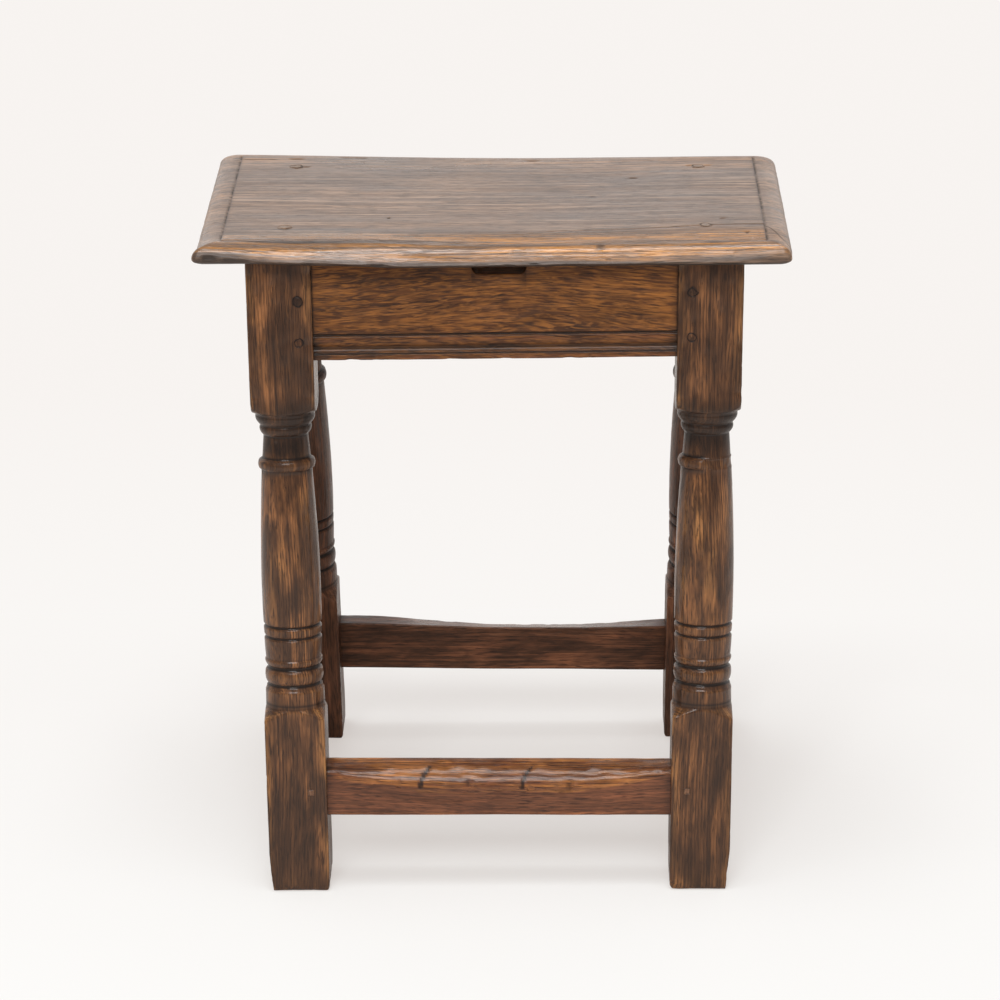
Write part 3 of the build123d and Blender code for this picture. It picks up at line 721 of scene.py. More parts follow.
def make_stretcher(name, side, sign, dip, material, seed, high, tilt, low=STRETCHER_LOW):
    """dip gives how far the top edge is worn at (place along, share across from outside)."""
    near, far = STRETCHER_SETBACK, STRETCHER_SETBACK + STRETCHER_DEPTH
    section = rounded([(near, low, 1.4), (far, low, 1.2), (far, high, 1.6), (near, high, 2.2)])
    section = evenly(section, 1.3)
    half_length = 140.0 if side == "end" else 122.0
    inset, height, run, normal = bar_grid(section, 1.6, half_length)
    along = run * half_length
    local = np.stack([along, inset, height], -1) + seed * 71.0
    share = np.clip((inset - near) / STRETCHER_DEPTH, 0, 1)
    drop = dip(along, share, local)
    height = low + (height - low) * (high - drop - low) / (high - low)
    face_top = high - dip(along, 0 * share, local)
    swell = 0.35 * noise(local, (60, 14, 14), seed) + 0.12 * noise(local, (12, 5, 5), seed + 1)
    on_edge = bell(height, high - drop, 3.0) * bell(inset, near, 3.0)
    chips = np.clip(rough(local, (13, 9, 7), seed + 2) - 0.12, 0, 1) * on_edge
    move = swell - 3.2 * chips
    inset = inset + normal[..., 0] * move
    height = height + normal[..., 1] * move
    build = end_bar_points if side == "end" else side_bar_points
    points = build(inset, height + tilt * run, run, sign, FOOT_HALF)
    grain = np.stack([along, height, inset], -1) + seed * 131.0
    bottom = bell(height, low, 1.6) * bell(inset, near, 1.6)
    upper = step(height - face_top, -4.5, -1.5)
    trodden = upper * step(high - face_top, 1.5, 4.0)
    wear = np.clip(0.5 * on_edge + 0.4 * bottom + trodden, 0, 1)
    ends = step(np.abs(run), 0.93, 1.0)
    grime_and_shade = 0.5 * ends + 2.2 * chips * (noise(local, 9, seed + 4) > 0.1)
    if name == "stretcher_front":
        bevel = step(height - face_top, -1.0, 0.5)
        grime_and_shade = grime_and_shade + 0.95 * bevel * step(front_gouges(along, share), 0.1, 0.35)
        grime_and_shade = grime_and_shade + 0.9 * trodden * np.clip(rough(local, (24, 7, 7), seed + 6) - 0.05, 0, 1)
    grime_and_shade = np.clip(grime_and_shade, 0, 0.9)
    make_piece(name, points, grain, wear, grime_and_shade, name, material)


# two gouges across the worn edge: place along, lean, depth
GOUGES = ((-60.0, 6.0, 0.7), (22.0, 6.0, 0.6))


def front_gouges(along, share):
    made = 0.0
    for place, lean, deep in GOUGES:
        off = along - place - lean * (share * 3 - 0.6)
        made = made + deep * bell(off, 0, 1.9) * step(share, 0.6, 0.35)
    return made


def front_dip(along, share, local):
    deep = 2.0 + 14.5 * (1 - step(np.abs(along + 4), 50, 165))
    worn = (deep + 1.3 * rough(local, (26, 60, 60), 5)) * quarter_round(share)
    lumps = 0.7 * noise(local, (11, 7, 60), 15) * step(share, 0.02, 0.2) * step(share, 1.0, 0.7)
    return worn + lumps + front_gouges(along, share)


def back_dip(along, share, local):
    worn = (1 - step(np.abs(along - 22), 20, 150)) ** 0.9
    return worn * (2.5 + 5.8 * (1 - share)) + 0.3 * noise(local, (30, 60, 60), 6)


def side_dip(along, share, local):
    worn = (1 - step(np.abs(along), 10, 110)) * 4.0 * (1 - share)
    return worn + 0.3 * noise(local, (30, 60, 60), 7)


make_stretcher("stretcher_front", "end", -1, front_dip, stretcher_oak, 11, 99.4, -0.8, 60.9)
# the back stretcher takes the darker oak, as painted shade
make_stretcher("stretcher_back", "end", 1, back_dip, shaded_back_oak, 12, 103.5, -1.8)
make_stretcher("stretcher_left", "side", -1, side_dip, stretcher_oak, 13, 100.0, 0.0)
make_stretcher("stretcher_right", "side", 1, side_dip, stretcher_oak, 14, 100.0, 0.0)

# ============================================================ the four rails
# Quartered oak boards between the head blocks, tilted with the legs. A run moulding
# follows the lower edge, and the front one has a rounded notch cut in its top edge.

RAIL_LOW = 430.0
RAIL_OUT, RAIL_IN = 3.0, 27.0
# the notch's middle, width, depth and corner radius
NOTCH = (3.4, 42.6, 13.4, 6.0)

# quartered, so silvery flakes cross a golden brown
rail_oak = aged_oak(
    "golden quartered oak of the rails", "#97602c", "#633c1f", "#392112", "#180f09", "#925c42",
    figure=0.7, soiling=0.4, coat=0.2, gloss=0.15, ring_scale=110.0, ring_depth=0.3, blotch=0.65,
    run=26.0, contrast=0.66, wander=0.04, patches=(14.0, 40.0, 40.0),
)

# the section's corners: in from the leg's outer face, height, and how round
RAIL_OUTLINE = (
    (RAIL_IN, RAIL_LOW, 1.0), (RAIL_IN, UNDERSIDE, 0.6), (RAIL_OUT, UNDERSIDE, 0.8),
    (RAIL_OUT, 451.2, 0.5), (4.4, 450.2, 0.4), (4.5, 449.2, 0.3), (3.5, 448.4, 0.5),
    (3.2, 446.2, 0.8), (3.5, 444.0, 0.8), (4.6, 442.0, 0.8), (5.9, 440.2, 0.8),
    (6.1, 438.2, 0.8), (5.2, 436.6, 0.6), (4.3, 435.8, 0.3), (4.5, 434.9, 0.3),
    (3.6, 434.2, 0.4), (3.5, 431.6, 0.8), (4.2, RAIL_LOW, 0.6),
)


def notch_depth(x):
    """How far the notch cuts down at x: upright sides, rounded lower corners."""
    centre, width, deep, radius = NOTCH
    into = width / 2 - np.abs(x - centre)
    curve = radius - np.sqrt(np.clip(radius**2 - (radius - np.clip(into, 0, radius)) ** 2, 0, None))
    return np.where(into > 0, deep - curve, 0.0)


def make_rail(name, side, sign, notched, material, seed, droop=0.0):
    section = evenly(rounded(RAIL_OUTLINE), 1.5)
    half_length = 141.0 if side == "end" else 74.0
    inset, height, run, normal = bar_grid(section, 1.7, half_length)
    if notched:
        centre, width = NOTCH[0], NOTCH[1]
        past = (0.05, -0.05, -0.4, -1.2, -2.5, -4)
        marks = [centre + s * (width / 2 + e) for s in (-1, 1) for e in past]
        runs = np.unique(np.concatenate([run[:, 0], np.array(marks) / half_length]))
        inset, height, normal = (
            np.broadcast_to(v[:1], (len(runs),) + v.shape[1:]).copy()
            for v in (inset, height, normal)
        )
        run = np.broadcast_to(runs[:, None], inset.shape).copy()
    along = run * half_length
    local = np.stack([along, inset, height], -1) + seed * 71.0
    cut = notch_depth(along) if notched else 0.0
    # the moulding stays whole, and the board above it gives way to the notch
    moulding_top = 452.0
    above = np.clip((height - moulding_top) / (UNDERSIDE - moulding_top), 0, 1)
    height = height - cut * above
    swell = 0.28 * noise(local, (50, 16, 16), seed) + 0.10 * noise(local, (10, 5, 5), seed + 1)
    lip = bell(height, RAIL_LOW + 1, 2.0) * (inset < 12)
    chips = np.clip(rough(local, (12, 9, 6), seed + 2) - 0.3, 0, 1) * lip
    move = (swell - 2.5 * chips) * np.where(above > 0.97, 0.3, 1.0)
    inset = inset + normal[..., 0] * move
    height = np.minimum(height + normal[..., 1] * move, UNDERSIDE)
    build = end_bar_points if side == "end" else side_bar_points
    points = build(inset, height, run, sign, HEAD_HALF)
    points[..., 2] -= droop * (1 - run) / 2 * step(height, 500, 440)
    if notched:
        points[..., 0] = np.where(np.abs(run) < 0.5, along, points[..., 0])
    grain = np.stack([along, height, inset], -1) + seed * 131.0
    moulded = inset < 14
    groove = bell(height, 449.8, 0.9) + bell(height, 439.3, 2.2) * 0.55
    groove = (groove + bell(height, 435.0, 0.7) * 0.8) * moulded
    band = step(height, 451.5, 450.5) * moulded * 0.3
    crest = bell(height, 446.4, 1.6) + bell(height, 432.4, 1.2)
    wear = np.clip(0.55 * crest * moulded + 0.3 * lip, 0, 1)
    ends = step(np.abs(run), 0.93, 1.0) + 1.6 * step(np.abs(run), 0.974, 0.986)
    grime_and_shade = np.clip(0.9 * groove + band + 0.45 * ends + 0.35 * step(height, 502, 509), 0, 0.92)
    if notched:
        rim = bell(np.abs(along - NOTCH[0]), NOTCH[1] / 2, 5.0) * above
        grime_and_shade = np.clip(grime_and_shade + 0.7 * rim * step(above, 0.5, 0.9), 0, 0.92)
    make_piece(name, points, grain, wear, grime_and_shade, name, material)


make_rail("rail_front", "end", -1, True, rail_oak, 21, 1.7)
# the back rail takes the darker oak, as painted shade
make_rail("rail_back", "end", 1, False, shaded_back_oak, 22)
make_rail("rail_left", "side", -1, False, rail_oak, 23)
make_rail("rail_right", "side", 1, False, rail_oak, 24)

# ============================================================ the pegs of the joints
# Riven pegs driven through each tenon: two round ones at each rail joint, and one
# square one at each stretcher joint. Their end grain is dark and stands a little proud.

PEG_FROM_SHOULDER = 12.5
PEG_LENGTH = 14.0
# the dirty rim of a peg's head, as shares of its radius
RIM_PLACE, RIM_WIDTH = 0.84, 0.17
# how far below the seat the pegs are, on the left or front leg and on the other
RAIL_PEGS = {
    "front": ((33.5, 65.5), (27.5, 62.5)), "back": ((31.5, 64.0), (31.5, 64.0)),
    "left": ((26.0, 58.5), (26.0, 58.5)), "right": ((26.0, 58.5), (26.0, 58.5)),
}
# heights of the stretchers' pegs
STRETCHER_PEGS = {"front": 82.0, "back": 82.0, "left": 73.0, "right": 73.0}

# end grain drinks the wax, and stays dark and dull
peg_oak = aged_oak(
    "end grain of the pegs", "#7a5335", "#573722", "#352116", "#140c09", "#86603f",
    soiling=0.3, coat=0.05, gloss=0.22, ring_scale=200.0,
)
pale_peg_oak = aged_oak(
    "end grain of a newer peg", "#8a6242", "#76523a", "#5a3c2a", "#3a261a", "#96704e",
    soiling=0.2, coat=0.1, ring_scale=260.0,
)


def peg_tree(material):
    """Sets a tapered peg at each point, turned to the point's own angles."""
    tree, given = new_tree(
        "pegs in their holes", {"Radius": 0.0036, "Length": 0.012, "Sides": 12, "Seed": 1}
    )
    peg = add(
        tree, "GeometryNodeMeshCylinder", (-600, 200),
        {"Vertices": given["Sides"], "Side Segments": 6, "Fill Segments": 11,
         "Radius": given["Radius"], "Depth": given["Length"]},
        fill_type="TRIANGLE_FAN",
    ).outputs["Mesh"]
    place = add(tree, "GeometryNodeInputPosition", (-900, -300)).outputs[0]
    split = add(tree, "ShaderNodeSeparateXYZ", (-700, -300), {0: place}).outputs
    # the shaft narrows towards its point
    taper = add(
        tree, "ShaderNodeMapRange", (-500, -300),
        {"Value": split[2],
         "From Min": math_node(tree, (-700, -500), "MULTIPLY", given["Length"], -0.5),
         "From Max": math_node(tree, (-700, -650), "MULTIPLY", given["Length"], 0.5),
         "To Min": 0.84, "To Max": 1.0},
    ).outputs[0]
    narrowed = add(
        tree, "ShaderNodeCombineXYZ", (-300, -300),
        {0: math_node(tree, (-400, -400), "MULTIPLY", split[0], taper),
         1: math_node(tree, (-400, -550), "MULTIPLY", split[1], taper), 2: split[2]},
    ).outputs[0]
    peg = add(
        tree, "GeometryNodeSetPosition", (-100, 200), {"Geometry": peg, "Position": narrowed}
    ).outputs[0]
    turned = add(
        tree, "GeometryNodeInputNamedAttribute", (-400, -50), {"Name": "turned"},
        data_type="FLOAT_VECTOR",
    ).outputs[0]
    size = add(
        tree, "FunctionNodeRandomValue", (-100, -200), {2: 0.93, 3: 1.05, "Seed": given["Seed"]},
        data_type="FLOAT",
    )
    size = [out for out in size.outputs if out.enabled][0]
    scale = add(tree, "ShaderNodeCombineXYZ", (100, -200), {0: size, 1: size, 2: 1.0}).outputs[0]
    euler = add(tree, "FunctionNodeEulerToRotation", (-100, -50), {0: turned}).outputs[0]
    put = add(
        tree, "GeometryNodeInstanceOnPoints", (300, 0),
        {"Points": given["Geometry"], "Instance": peg, "Rotation": euler, "Scale": scale},
    ).outputs[0]
    end_tree(tree, put, material)
    return tree


def make_pegs(name, places, sizes, material, grain_seed, dark):
    """places are (point, axis out of the face, axis across), mm; sizes feed the tree. Each
    peg's rim is dirty, and dark says how dirty its middle is (below 0, the rim is clean too)."""
    spots = bpy.data.meshes.new(name + " points")
    spots.from_pydata([(np.array(p) * 0.001).tolist() for p, _, _ in places], [], [])
    layer = spots.attributes.new("turned", "FLOAT_VECTOR", "POINT")
    for item, (_, out, side) in zip(layer.data, places):
        z_axis = Vector(out).normalized()
        x_axis = (Vector(side) - z_axis * Vector(side).dot(z_axis)).normalized()
        item.vector = Matrix((x_axis, z_axis.cross(x_axis), z_axis)).transposed().to_euler()
    mesh = grow(name, spots, peg_tree(material), sizes)
    points = places_of(mesh)
    centres = np.array([p for p, _, _ in places])
    outs = np.array([Vector(out).normalized() for _, out, _ in places])
    nearest = np.argmin(np.linalg.norm(points[:, None] - centres[None], axis=2), axis=1)
    away = points - centres[nearest]
    height = np.sum(away * outs[nearest], axis=1)
    radial = away - height[:, None] * outs[nearest]
    share = np.linalg.norm(radial, axis=1) / (sizes["Radius"] * 1000)
    ragged = share + 0.12 * noise(points + 5, 2.2, 9)
    in_rim = bell(ragged, RIM_PLACE, RIM_WIDTH) * (share < 0.97)
    middle = np.array(dark)[nearest]
    # the rim of each head is sunk below its middle
    on_head = height > sizes["Length"] * 1000 * 0.45
    sink = np.where(on_head, in_rim * 0.35, 0.0)
    points = points + radial * 0.24 * noise(points + 5, 2.6, 7)[:, None]
    points = points - outs[nearest] * sink[:, None]
    dirt = np.maximum(middle, in_rim * np.where(middle < 0, 0.3, 1.0))
    grain = points[:, [2, 0, 1]] + grain_seed
    wear = np.full(len(points), 0.15)
    finish_mesh(name, mesh, points, [grain, wear, np.clip(dirt, 0, 0.95)], [name], False)


def end_peg(sx, sy, half, z, proud_by, shoulder=PEG_FROM_SHOULDER):
    """Place and axes of a peg on a leg's front or back face."""
    _, along, across, _ = leg_axes(sx, sy)
    out = across * sy
    x = sx * (leg_x(z, (sy + 1) / 2) - half / LEAN + shoulder)
    face = np.array([x, sy * (leg_y(z) + half / SPLAY), z])
    return face + out * (proud_by - PEG_LENGTH / 2), out, along


def side_peg(sx, sy, half, z, proud_by, shoulder=PEG_FROM_SHOULDER):
    """Place and axes of a peg on a leg's left or right face."""
    _, along, across, _ = leg_axes(sx, sy)
    out = along * sx
    y = sy * (leg_y(z) - half / SPLAY + shoulder)
    face = np.array([sx * (leg_x(z, (sy + 1) / 2) + half / LEAN), y, z])
    return face + out * (proud_by - PEG_LENGTH / 2), out, across


for which, sign in (("front", -1), ("back", 1), ("left", -1), ("right", 1)):
    put = end_peg if which in ("front", "back") else side_peg
    legs = [(s, sign) if put is end_peg else (sign, s) for s in (-1, 1)]
    spots = [
        put(*leg, HEAD_HALF, UNDERSIDE - down, 0.95, 10.6)
        for leg, downs in zip(legs, RAIL_PEGS[which])
        for down in downs
    ]
    make_pegs(
        "rail_pegs_" + which, spots,
        {"Radius": 0.0042, "Length": PEG_LENGTH * 0.001, "Sides": 16, "Seed": 5 + sign},
        peg_oak, 310.0, [0.7, 0.0] * 2,
    )
    spots = [put(*leg, FOOT_HALF, STRETCHER_PEGS[which], 0.4) for leg in legs]
    spots = [(p, out, side + np.cross(out, side)) for p, out, side in spots]
    make_pegs(
        "stretcher_pegs_" + which, spots,
        {"Radius": 0.0040, "Length": PEG_LENGTH * 0.001, "Sides": 4, "Seed": 9 + sign},
        pale_peg_oak if which == "front" else peg_oak, 770.0, [0.1] * 2,
    )

# ============================================================ the seat board
# One oak plank, a little hollow along its length from use. A thumbnail moulding runs
# round it inside a sunk line, down to a rounded nose that is chipped underneath.

SEAT = (230.0, 135.0)
SEAT_TOP = 526.0
SEAT_THICK = 17.0
QUIRK_IN = 20.0
FRONT_CORNER, BACK_CORNER = 4.5, 13.0

# scrubbed and waxed thin: grey-brown with a broad sheen, golden where it is rubbed
seat_oak = aged_oak(
    "grey waxed oak of the seat", "#ae9078", "#7d614c", "#48382e", "#21160f", "#c18442",
    soiling=0.35, roughness=(0.30, 0.44), coat=0.12, gloss=0.45, ring_scale=105.0,
    ring_depth=0.35, wander=0.02, streak=0.6, run=11.0, across=210.0, contrast=0.46,
    blotch=0.45, patches=(5.0, 20.0, 20.0),
)


def spaced(half, gap, edge_gap, border=14):
    """Places from -half to half, closer together in the border at both ends."""
    inner = np.linspace(-(half - border), half - border, int(2 * (half - border) / gap) + 1)
    edge = np.linspace(half - border, half, int(border / edge_gap) + 1)[1:]
    return np.concatenate([-edge[::-1], inner, edge])


def closer(places, centre, offsets):
    """The places with those near centre changed for a close set round it."""
    kept = places[np.abs(places - centre) > max(offsets) + 0.8]
    return np.sort(np.concatenate([kept, centre + np.array(offsets)]))


# a split in the board from its right end: (x, y), and the row of the mesh that follows it
SPLIT = ((45, -96), (90, -94), (132, -91), (164, -85.5), (209, -85))
SPLIT_ROW = -92.0
# an old nail's hole in the top, and a plug in the front moulding
NAIL = (-83.0, -57.0)
PLUG, PLUG_RADIUS = (82.6, -119.0), 3.6
ROUND_NAIL = (-1.6, -1.0, -0.5, 0, 0.5, 1.0, 1.6)
xs = closer(spaced(SEAT[0] - QUIRK_IN, 2.0, 1.0), NAIL[0], ROUND_NAIL)
ys = closer(spaced(SEAT[1] - QUIRK_IN, 2.0, 1.0), NAIL[1], ROUND_NAIL)
ys = closer(ys, SPLIT_ROW, (-1.8, -0.9, -0.35, 0, 0.35, 0.9, 1.8))
nx, ny = len(xs), len(ys)

# The moulding's section from the sunk line outwards: (out from the line, below the top).
MOULDING = (
    (0.0, 0.25), (0.35, 1.5), (0.8, 1.9), (1.5, 1.5), (3.0, 1.15), (5.0, 1.2), (7.0, 1.45),
    (9.0, 1.8), (11.0, 2.3), (13.0, 2.95), (15.0, 3.8), (16.6, 4.8), (18.0, 6.2), (19.0, 7.8),
    (19.7, 9.6), (19.95, 11.2), (19.8, 12.6), (19.0, 13.8), (17.9, 14.6), (16.4, 15.4),
    (14.6, 16.2), (12.6, 16.8), (10.0, SEAT_THICK), (5.0, SEAT_THICK), (0.0, SEAT_THICK),
)


def seat_top_shape(x, y):
    """Height of the worn top over its flat plane, mm."""
    p = np.stack([x, y, np.zeros_like(x)], -1)
    dish = np.cos(np.clip(x / SEAT[0], -1, 1) * math.pi / 2) ** 2 * np.cos(y / SEAT[1] * 1.2) ** 2
    return -0.84 * dish + 0.168 * noise(p, (120, 16, 1), 3) + 0.06 * noise(p, (60, 5, 1), 4)


def seat_bow(x, y):
    """The whole board sags a little at mid length, most along its back."""
    return -(1.6 + 0.5 * (y / SEAT[1])) * np.cos(np.clip(x / SEAT[0], -1, 1) * math.pi / 2) ** 2


grid_x, grid_y = np.meshgrid(xs, ys, indexing="ij")
split_y = np.interp(grid_x, *np.array(SPLIT, float).T)
follow = np.exp(-(((grid_y - SPLIT_ROW) / 16) ** 2)) * step(grid_y, -115, -104)
grid_y = grid_y + (split_y - SPLIT_ROW) * follow
rim = (
    [(i, 0) for i in range(nx)]
    + [(nx - 1, j) for j in range(1, ny)]
    + [(i, ny - 1) for i in range(nx - 2, -1, -1)]
    + [(0, j) for j in range(ny - 2, 0, -1)]
)
rim = np.array(rim)
rim_x, rim_y = grid_x[rim[:, 0], rim[:, 1]], grid_y[rim[:, 0], rim[:, 1]]
side_x = np.where(rim[:, 0] == 0, -1, np.where(rim[:, 0] == nx - 1, 1, 0))
side_y = np.where(rim[:, 1] == 0, -1, np.where(rim[:, 1] == ny - 1, 1, 0))
split_rim = rim_y[(side_x == 1) & (rim[:, 1] == np.argmin(np.abs(ys - SPLIT_ROW)))][0]

edge_rings, edge_share = [], []
for out, below in MOULDING:
    # a ring this far out, its corners drawn in to the rounded plan of the board
    spread_x = 1 + out / (SEAT[0] - QUIRK_IN)
    spread_y = 1 + out / (SEAT[1] - QUIRK_IN)
    x = np.where(side_x != 0, rim_x + side_x * out, rim_x * spread_x)
    y = np.where(side_y != 0, rim_y + side_y * out, rim_y * spread_y)
    # on the right end the split runs on outwards and bends to the front
    edge_y = SEAT[1] - QUIRK_IN
    bent_y = np.interp(
        rim_y, (-edge_y, split_rim, -20, edge_y),
        (-edge_y * spread_y, split_rim * spread_y - 1.1 * min(out, 17),
         -20 * spread_y, edge_y * spread_y),
    )
    y = np.where((side_x == 1) & (side_y == 0), bent_y, y)
    reach_x, reach_y = SEAT[0] - QUIRK_IN + out, SEAT[1] - QUIRK_IN + out
    bend = np.where(rim_y < 0, FRONT_CORNER, BACK_CORNER) * max(out / QUIRK_IN, 0.001)
    past_x = np.abs(x) - (reach_x - bend)
    past_y = np.abs(y) - (reach_y - bend)
    inside = (past_x > 0) & (past_y > 0)
    far_out = np.hypot(past_x, past_y) + 1e-9
    top = np.maximum(past_x, past_y)
    pull = np.where(inside, top / far_out, 1.0)
    x = np.where(inside, np.sign(x) * (reach_x - bend + past_x * pull), x)
    y = np.where(inside, np.sign(y) * (reach_y - bend + past_y * pull), y)
    edge_rings.append(np.stack([x, y, np.full_like(x, SEAT_TOP - below)], -1))
    edge_share.append(np.full(len(x), out))
edge_rings = np.array(edge_rings)
edge_out = np.array(edge_share)
edge_below = SEAT_TOP - edge_rings[..., 2]

# worn nose, rubbed top and a broken lower edge
lower = bell(edge_below, 13.2, 2.6) * step(edge_out, 12, 17)
splits = np.clip(rough(edge_rings, (22, 22, 5), 41) + 0.02, 0, 1)
chipped = lower * splits * np.where(side_y < 0, 1.0, 0.6)
# larger breaks along the front nose: place, half width, depth, how far down, half height
NOSE_CHIPS = (
    (-217, 5, 1.5, 10.0, 2.2), (-106, 15, 1.7, 14.5, 2.6), (-88, 8, 2.6, 11.6, 2.6),
    (-64, 13, 0.6, 9.6, 0.9), (-9, 5, 1.1, 9.8, 1.3), (12, 4, 0.9, 11.2, 1.2),
    (27, 39, 1.6, 15.4, 2.2),
    (32, 4, 1.9, 9.4, 1.6), (58, 5, 0.8, 12.0, 1.2), (104, 40, 0.9, 15.2, 1.8),
    (128, 5, 1.3, 9.2, 1.3),
)
broken = np.zeros_like(edge_out)
for place, wide_by, deep, under, tall in NOSE_CHIPS:
    ragged = 0.35 * noise(edge_rings, (5, 60, 3), 44)
    across = np.abs((edge_rings[..., 0] - place) / wide_by) + ragged
    upright = (edge_below - under) / tall + ragged
    chip = deep * np.exp(-(across**6)) * np.exp(-(upright**2))
    broken += chip * (side_y < 0) * step(edge_out, 11, 16)
push = 0.30 * noise(edge_rings, (34, 34, 9), 42) + 0.14 * noise(edge_rings, (7, 7, 4), 43)
push = (push - 3.4 * chipped - broken) * step(edge_out, 1.5, 8)
length_out = np.hypot(side_x, side_y)
edge_rings[..., 0] += side_x / length_out * push
edge_rings[..., 1] += side_y / length_out * push
nose = bell(edge_below, 9.0, 3.4) * step(edge_out, 12, 18)
top_fade = np.clip(1 - edge_below / 12, 0, 1)
edge_rings[..., 2] += seat_top_shape(edge_rings[..., 0], edge_rings[..., 1]) * top_fade
# sitters have worn the front moulding to a slope
front_worn = (side_y < 0) * step(np.abs(rim_x), 222, 140)
slope = 4.6 * np.clip((edge_out + 0.6) / 15.6, 0, 1) ** 1.1 * step(edge_below, 14, 6)
edge_rings[..., 2] -= front_worn * (slope * (edge_out > 0) + 0.7 * step(edge_out, 14, 3))
edge_rings[0, :, 2] = SEAT_TOP - 0.25 + seat_top_shape(rim_x, rim_y)

top_z = SEAT_TOP + seat_top_shape(grid_x, grid_y)
near_rim = np.minimum(
    np.minimum(grid_x - xs[0], xs[-1] - grid_x), np.minimum(grid_y - ys[0], ys[-1] - grid_y)
)
top_z = top_z - 0.25 * np.exp(-near_rim)
split_off = grid_y - split_y
opened = step(grid_x, 38, 75)
top_z = top_z - 4.0 * opened * bell(split_off, 0, 0.55)
nail_off = np.hypot(grid_x - NAIL[0], grid_y - NAIL[1])
top_z = top_z - 1.4 * step(nail_off, 1.5, 0.6)
# short checks and dents: place, half length, half width
DENTS = (
    (-165, 106.0, 6.0, 1.3), (-156, 82.4, 5.5, 0.8), (-161.5, -84.0, 0.9, 3.2),
    (-151, -92.0, 5.0, 0.7),
    (158, 89.5, 3.5, 1.1), (172.5, 88.5, 3.5, 1.1), (29.6, 107.9, 5.0, 1.0), (111, 52.8, 3.5, 1.0),
    (101.6, 77.8, 4.5, 0.7), (77, 0, 1.8, 1.2), (178.7, -67.6, 2.2, 1.0), (196, -102, 2.4, 1.4),
    (-44, -50, 1.8, 0.8), (132, -91, 4.0, 1.6), (-196, 104, 14.0, 0.8), (-118, 112, 10.0, 0.7),
)
dented = np.zeros_like(grid_x)
for place_x, place_y, long_by, wide_by in DENTS:
    away = np.hypot((grid_x - place_x) / long_by, (grid_y - place_y) / wide_by)
    dented = np.maximum(dented, step(away, 1.25, 0.5))
top_z = top_z - 1.1 * dented
# sitters have worn the front down towards the sunk line
top_z = top_z - 0.9 * np.clip((-92 - grid_y) / 23, 0, 1) ** 1.5
top_points = np.stack([grid_x, grid_y, top_z], -1).reshape(-1, 3)
under_z = np.full_like(grid_x, SEAT_TOP - SEAT_THICK)
under_points = np.stack([grid_x, grid_y, under_z], -1).reshape(-1, 3)

top_index = np.arange(nx * ny).reshape(nx, ny)
ring_count = len(MOULDING)
rim_count = len(rim)
ring_index = nx * ny + np.arange((ring_count - 2) * rim_count).reshape(ring_count - 2, rim_count)
under_index = nx * ny + (ring_count - 2) * rim_count + np.arange(nx * ny).reshape(nx, ny)
all_rings = np.vstack(
    [top_index[rim[:, 0], rim[:, 1]][None], ring_index, under_index[rim[:, 0], rim[:, 1]][None]]
)


def warped(x, y, z):
    """The board isn't true: its left end is deeper, its back left corner lifts, and the
    front nose hangs a little low towards the middle and the right."""
    z = np.maximum(z + seat_bow(x, y) * step(z, 508, 516), UNDERSIDE)
    lift = (2.4 - 1.2 * x / SEAT[0]) * step(y, -115, 135) * step(z, 510, 518)
    droop = 3.6 * step(x, -185, -60) * step(y, -118, -131) * (0.45 + 0.55 * step(z, 524, 514))
    flare = 2.4 * step(y, -117, -133) * step(x, -200, -226)
    low_left = 1.0 * step(y, -100, -125) * step(x, -150, -200)
    # the front moulding is worn narrower and lower towards the right
    narrow = step(x, -110, 20) * step(y, -92, -114) * step(y, -135, -118)
    z = z + lift - droop + low_left - 1.8 * narrow * step(z, 512, 520)
    y = y * (1.010 - 0.028 * x / SEAT[0]) - 0.8 - 5.0 * narrow
    return np.stack([x - 0.5 - flare, y, z], -1)


seat_points = np.vstack([top_points, edge_rings[1:-1].reshape(-1, 3), under_points])
seat_faces = np.vstack(
    [quads_of(top_index), quads_of(all_rings, True), quads_of(under_index)]
).tolist()
seat_points = warped(*seat_points.T)
seat_grain = np.stack([seat_points[:, 0], seat_points[:, 1], seat_points[:, 2] * 0.6], -1)
at_front = (side_y < 0) * step(edge_out, 0, 3)
edge_wear = np.clip(0.9 * at_front + 0.25 * step(edge_out, 3, 10) + 0.2 * nose, 0, 1)
edge_wear = edge_wear * step(edge_below, 9.0, 5.0)
# the sunk line is full of dirt, in dashes on the end grain
at_ends = 0.75 + 0.6 * noise(edge_rings, (40, 3.2, 40), 45)
at_sides = 0.7 + 0.5 * noise(edge_rings, (70, 40, 40), 46)
at_sides = at_sides - 0.35 * step(edge_rings[..., 0], 20, 90) * (side_y < 0)
dashes = np.clip(np.where(side_x != 0, at_ends, at_sides), 0, 1)
edge_grime_and_shade = 0.95 * bell(edge_out, 0.9, 0.9) * (edge_below < 5) * dashes + 1.1 * chipped
edge_grime_and_shade = edge_grime_and_shade + 0.42 * broken * (noise(edge_rings, (9, 9, 5), 47) > -0.35)
# the nose's underside, facing the floor, is painted darker as shade
edge_grime_and_shade = edge_grime_and_shade + 0.5 * step(edge_below, 13.2, 15.0)
# the lower front nose is painted darker: shade where it turns down from the light above, and some
# dirt
darkening = 0.8 + 0.5 * noise(edge_rings, (40, 40, 7), 49)
edge_grime_and_shade = edge_grime_and_shade + 0.75 * step(edge_below, 3.2, 6.0) * (side_y < 0) * darkening
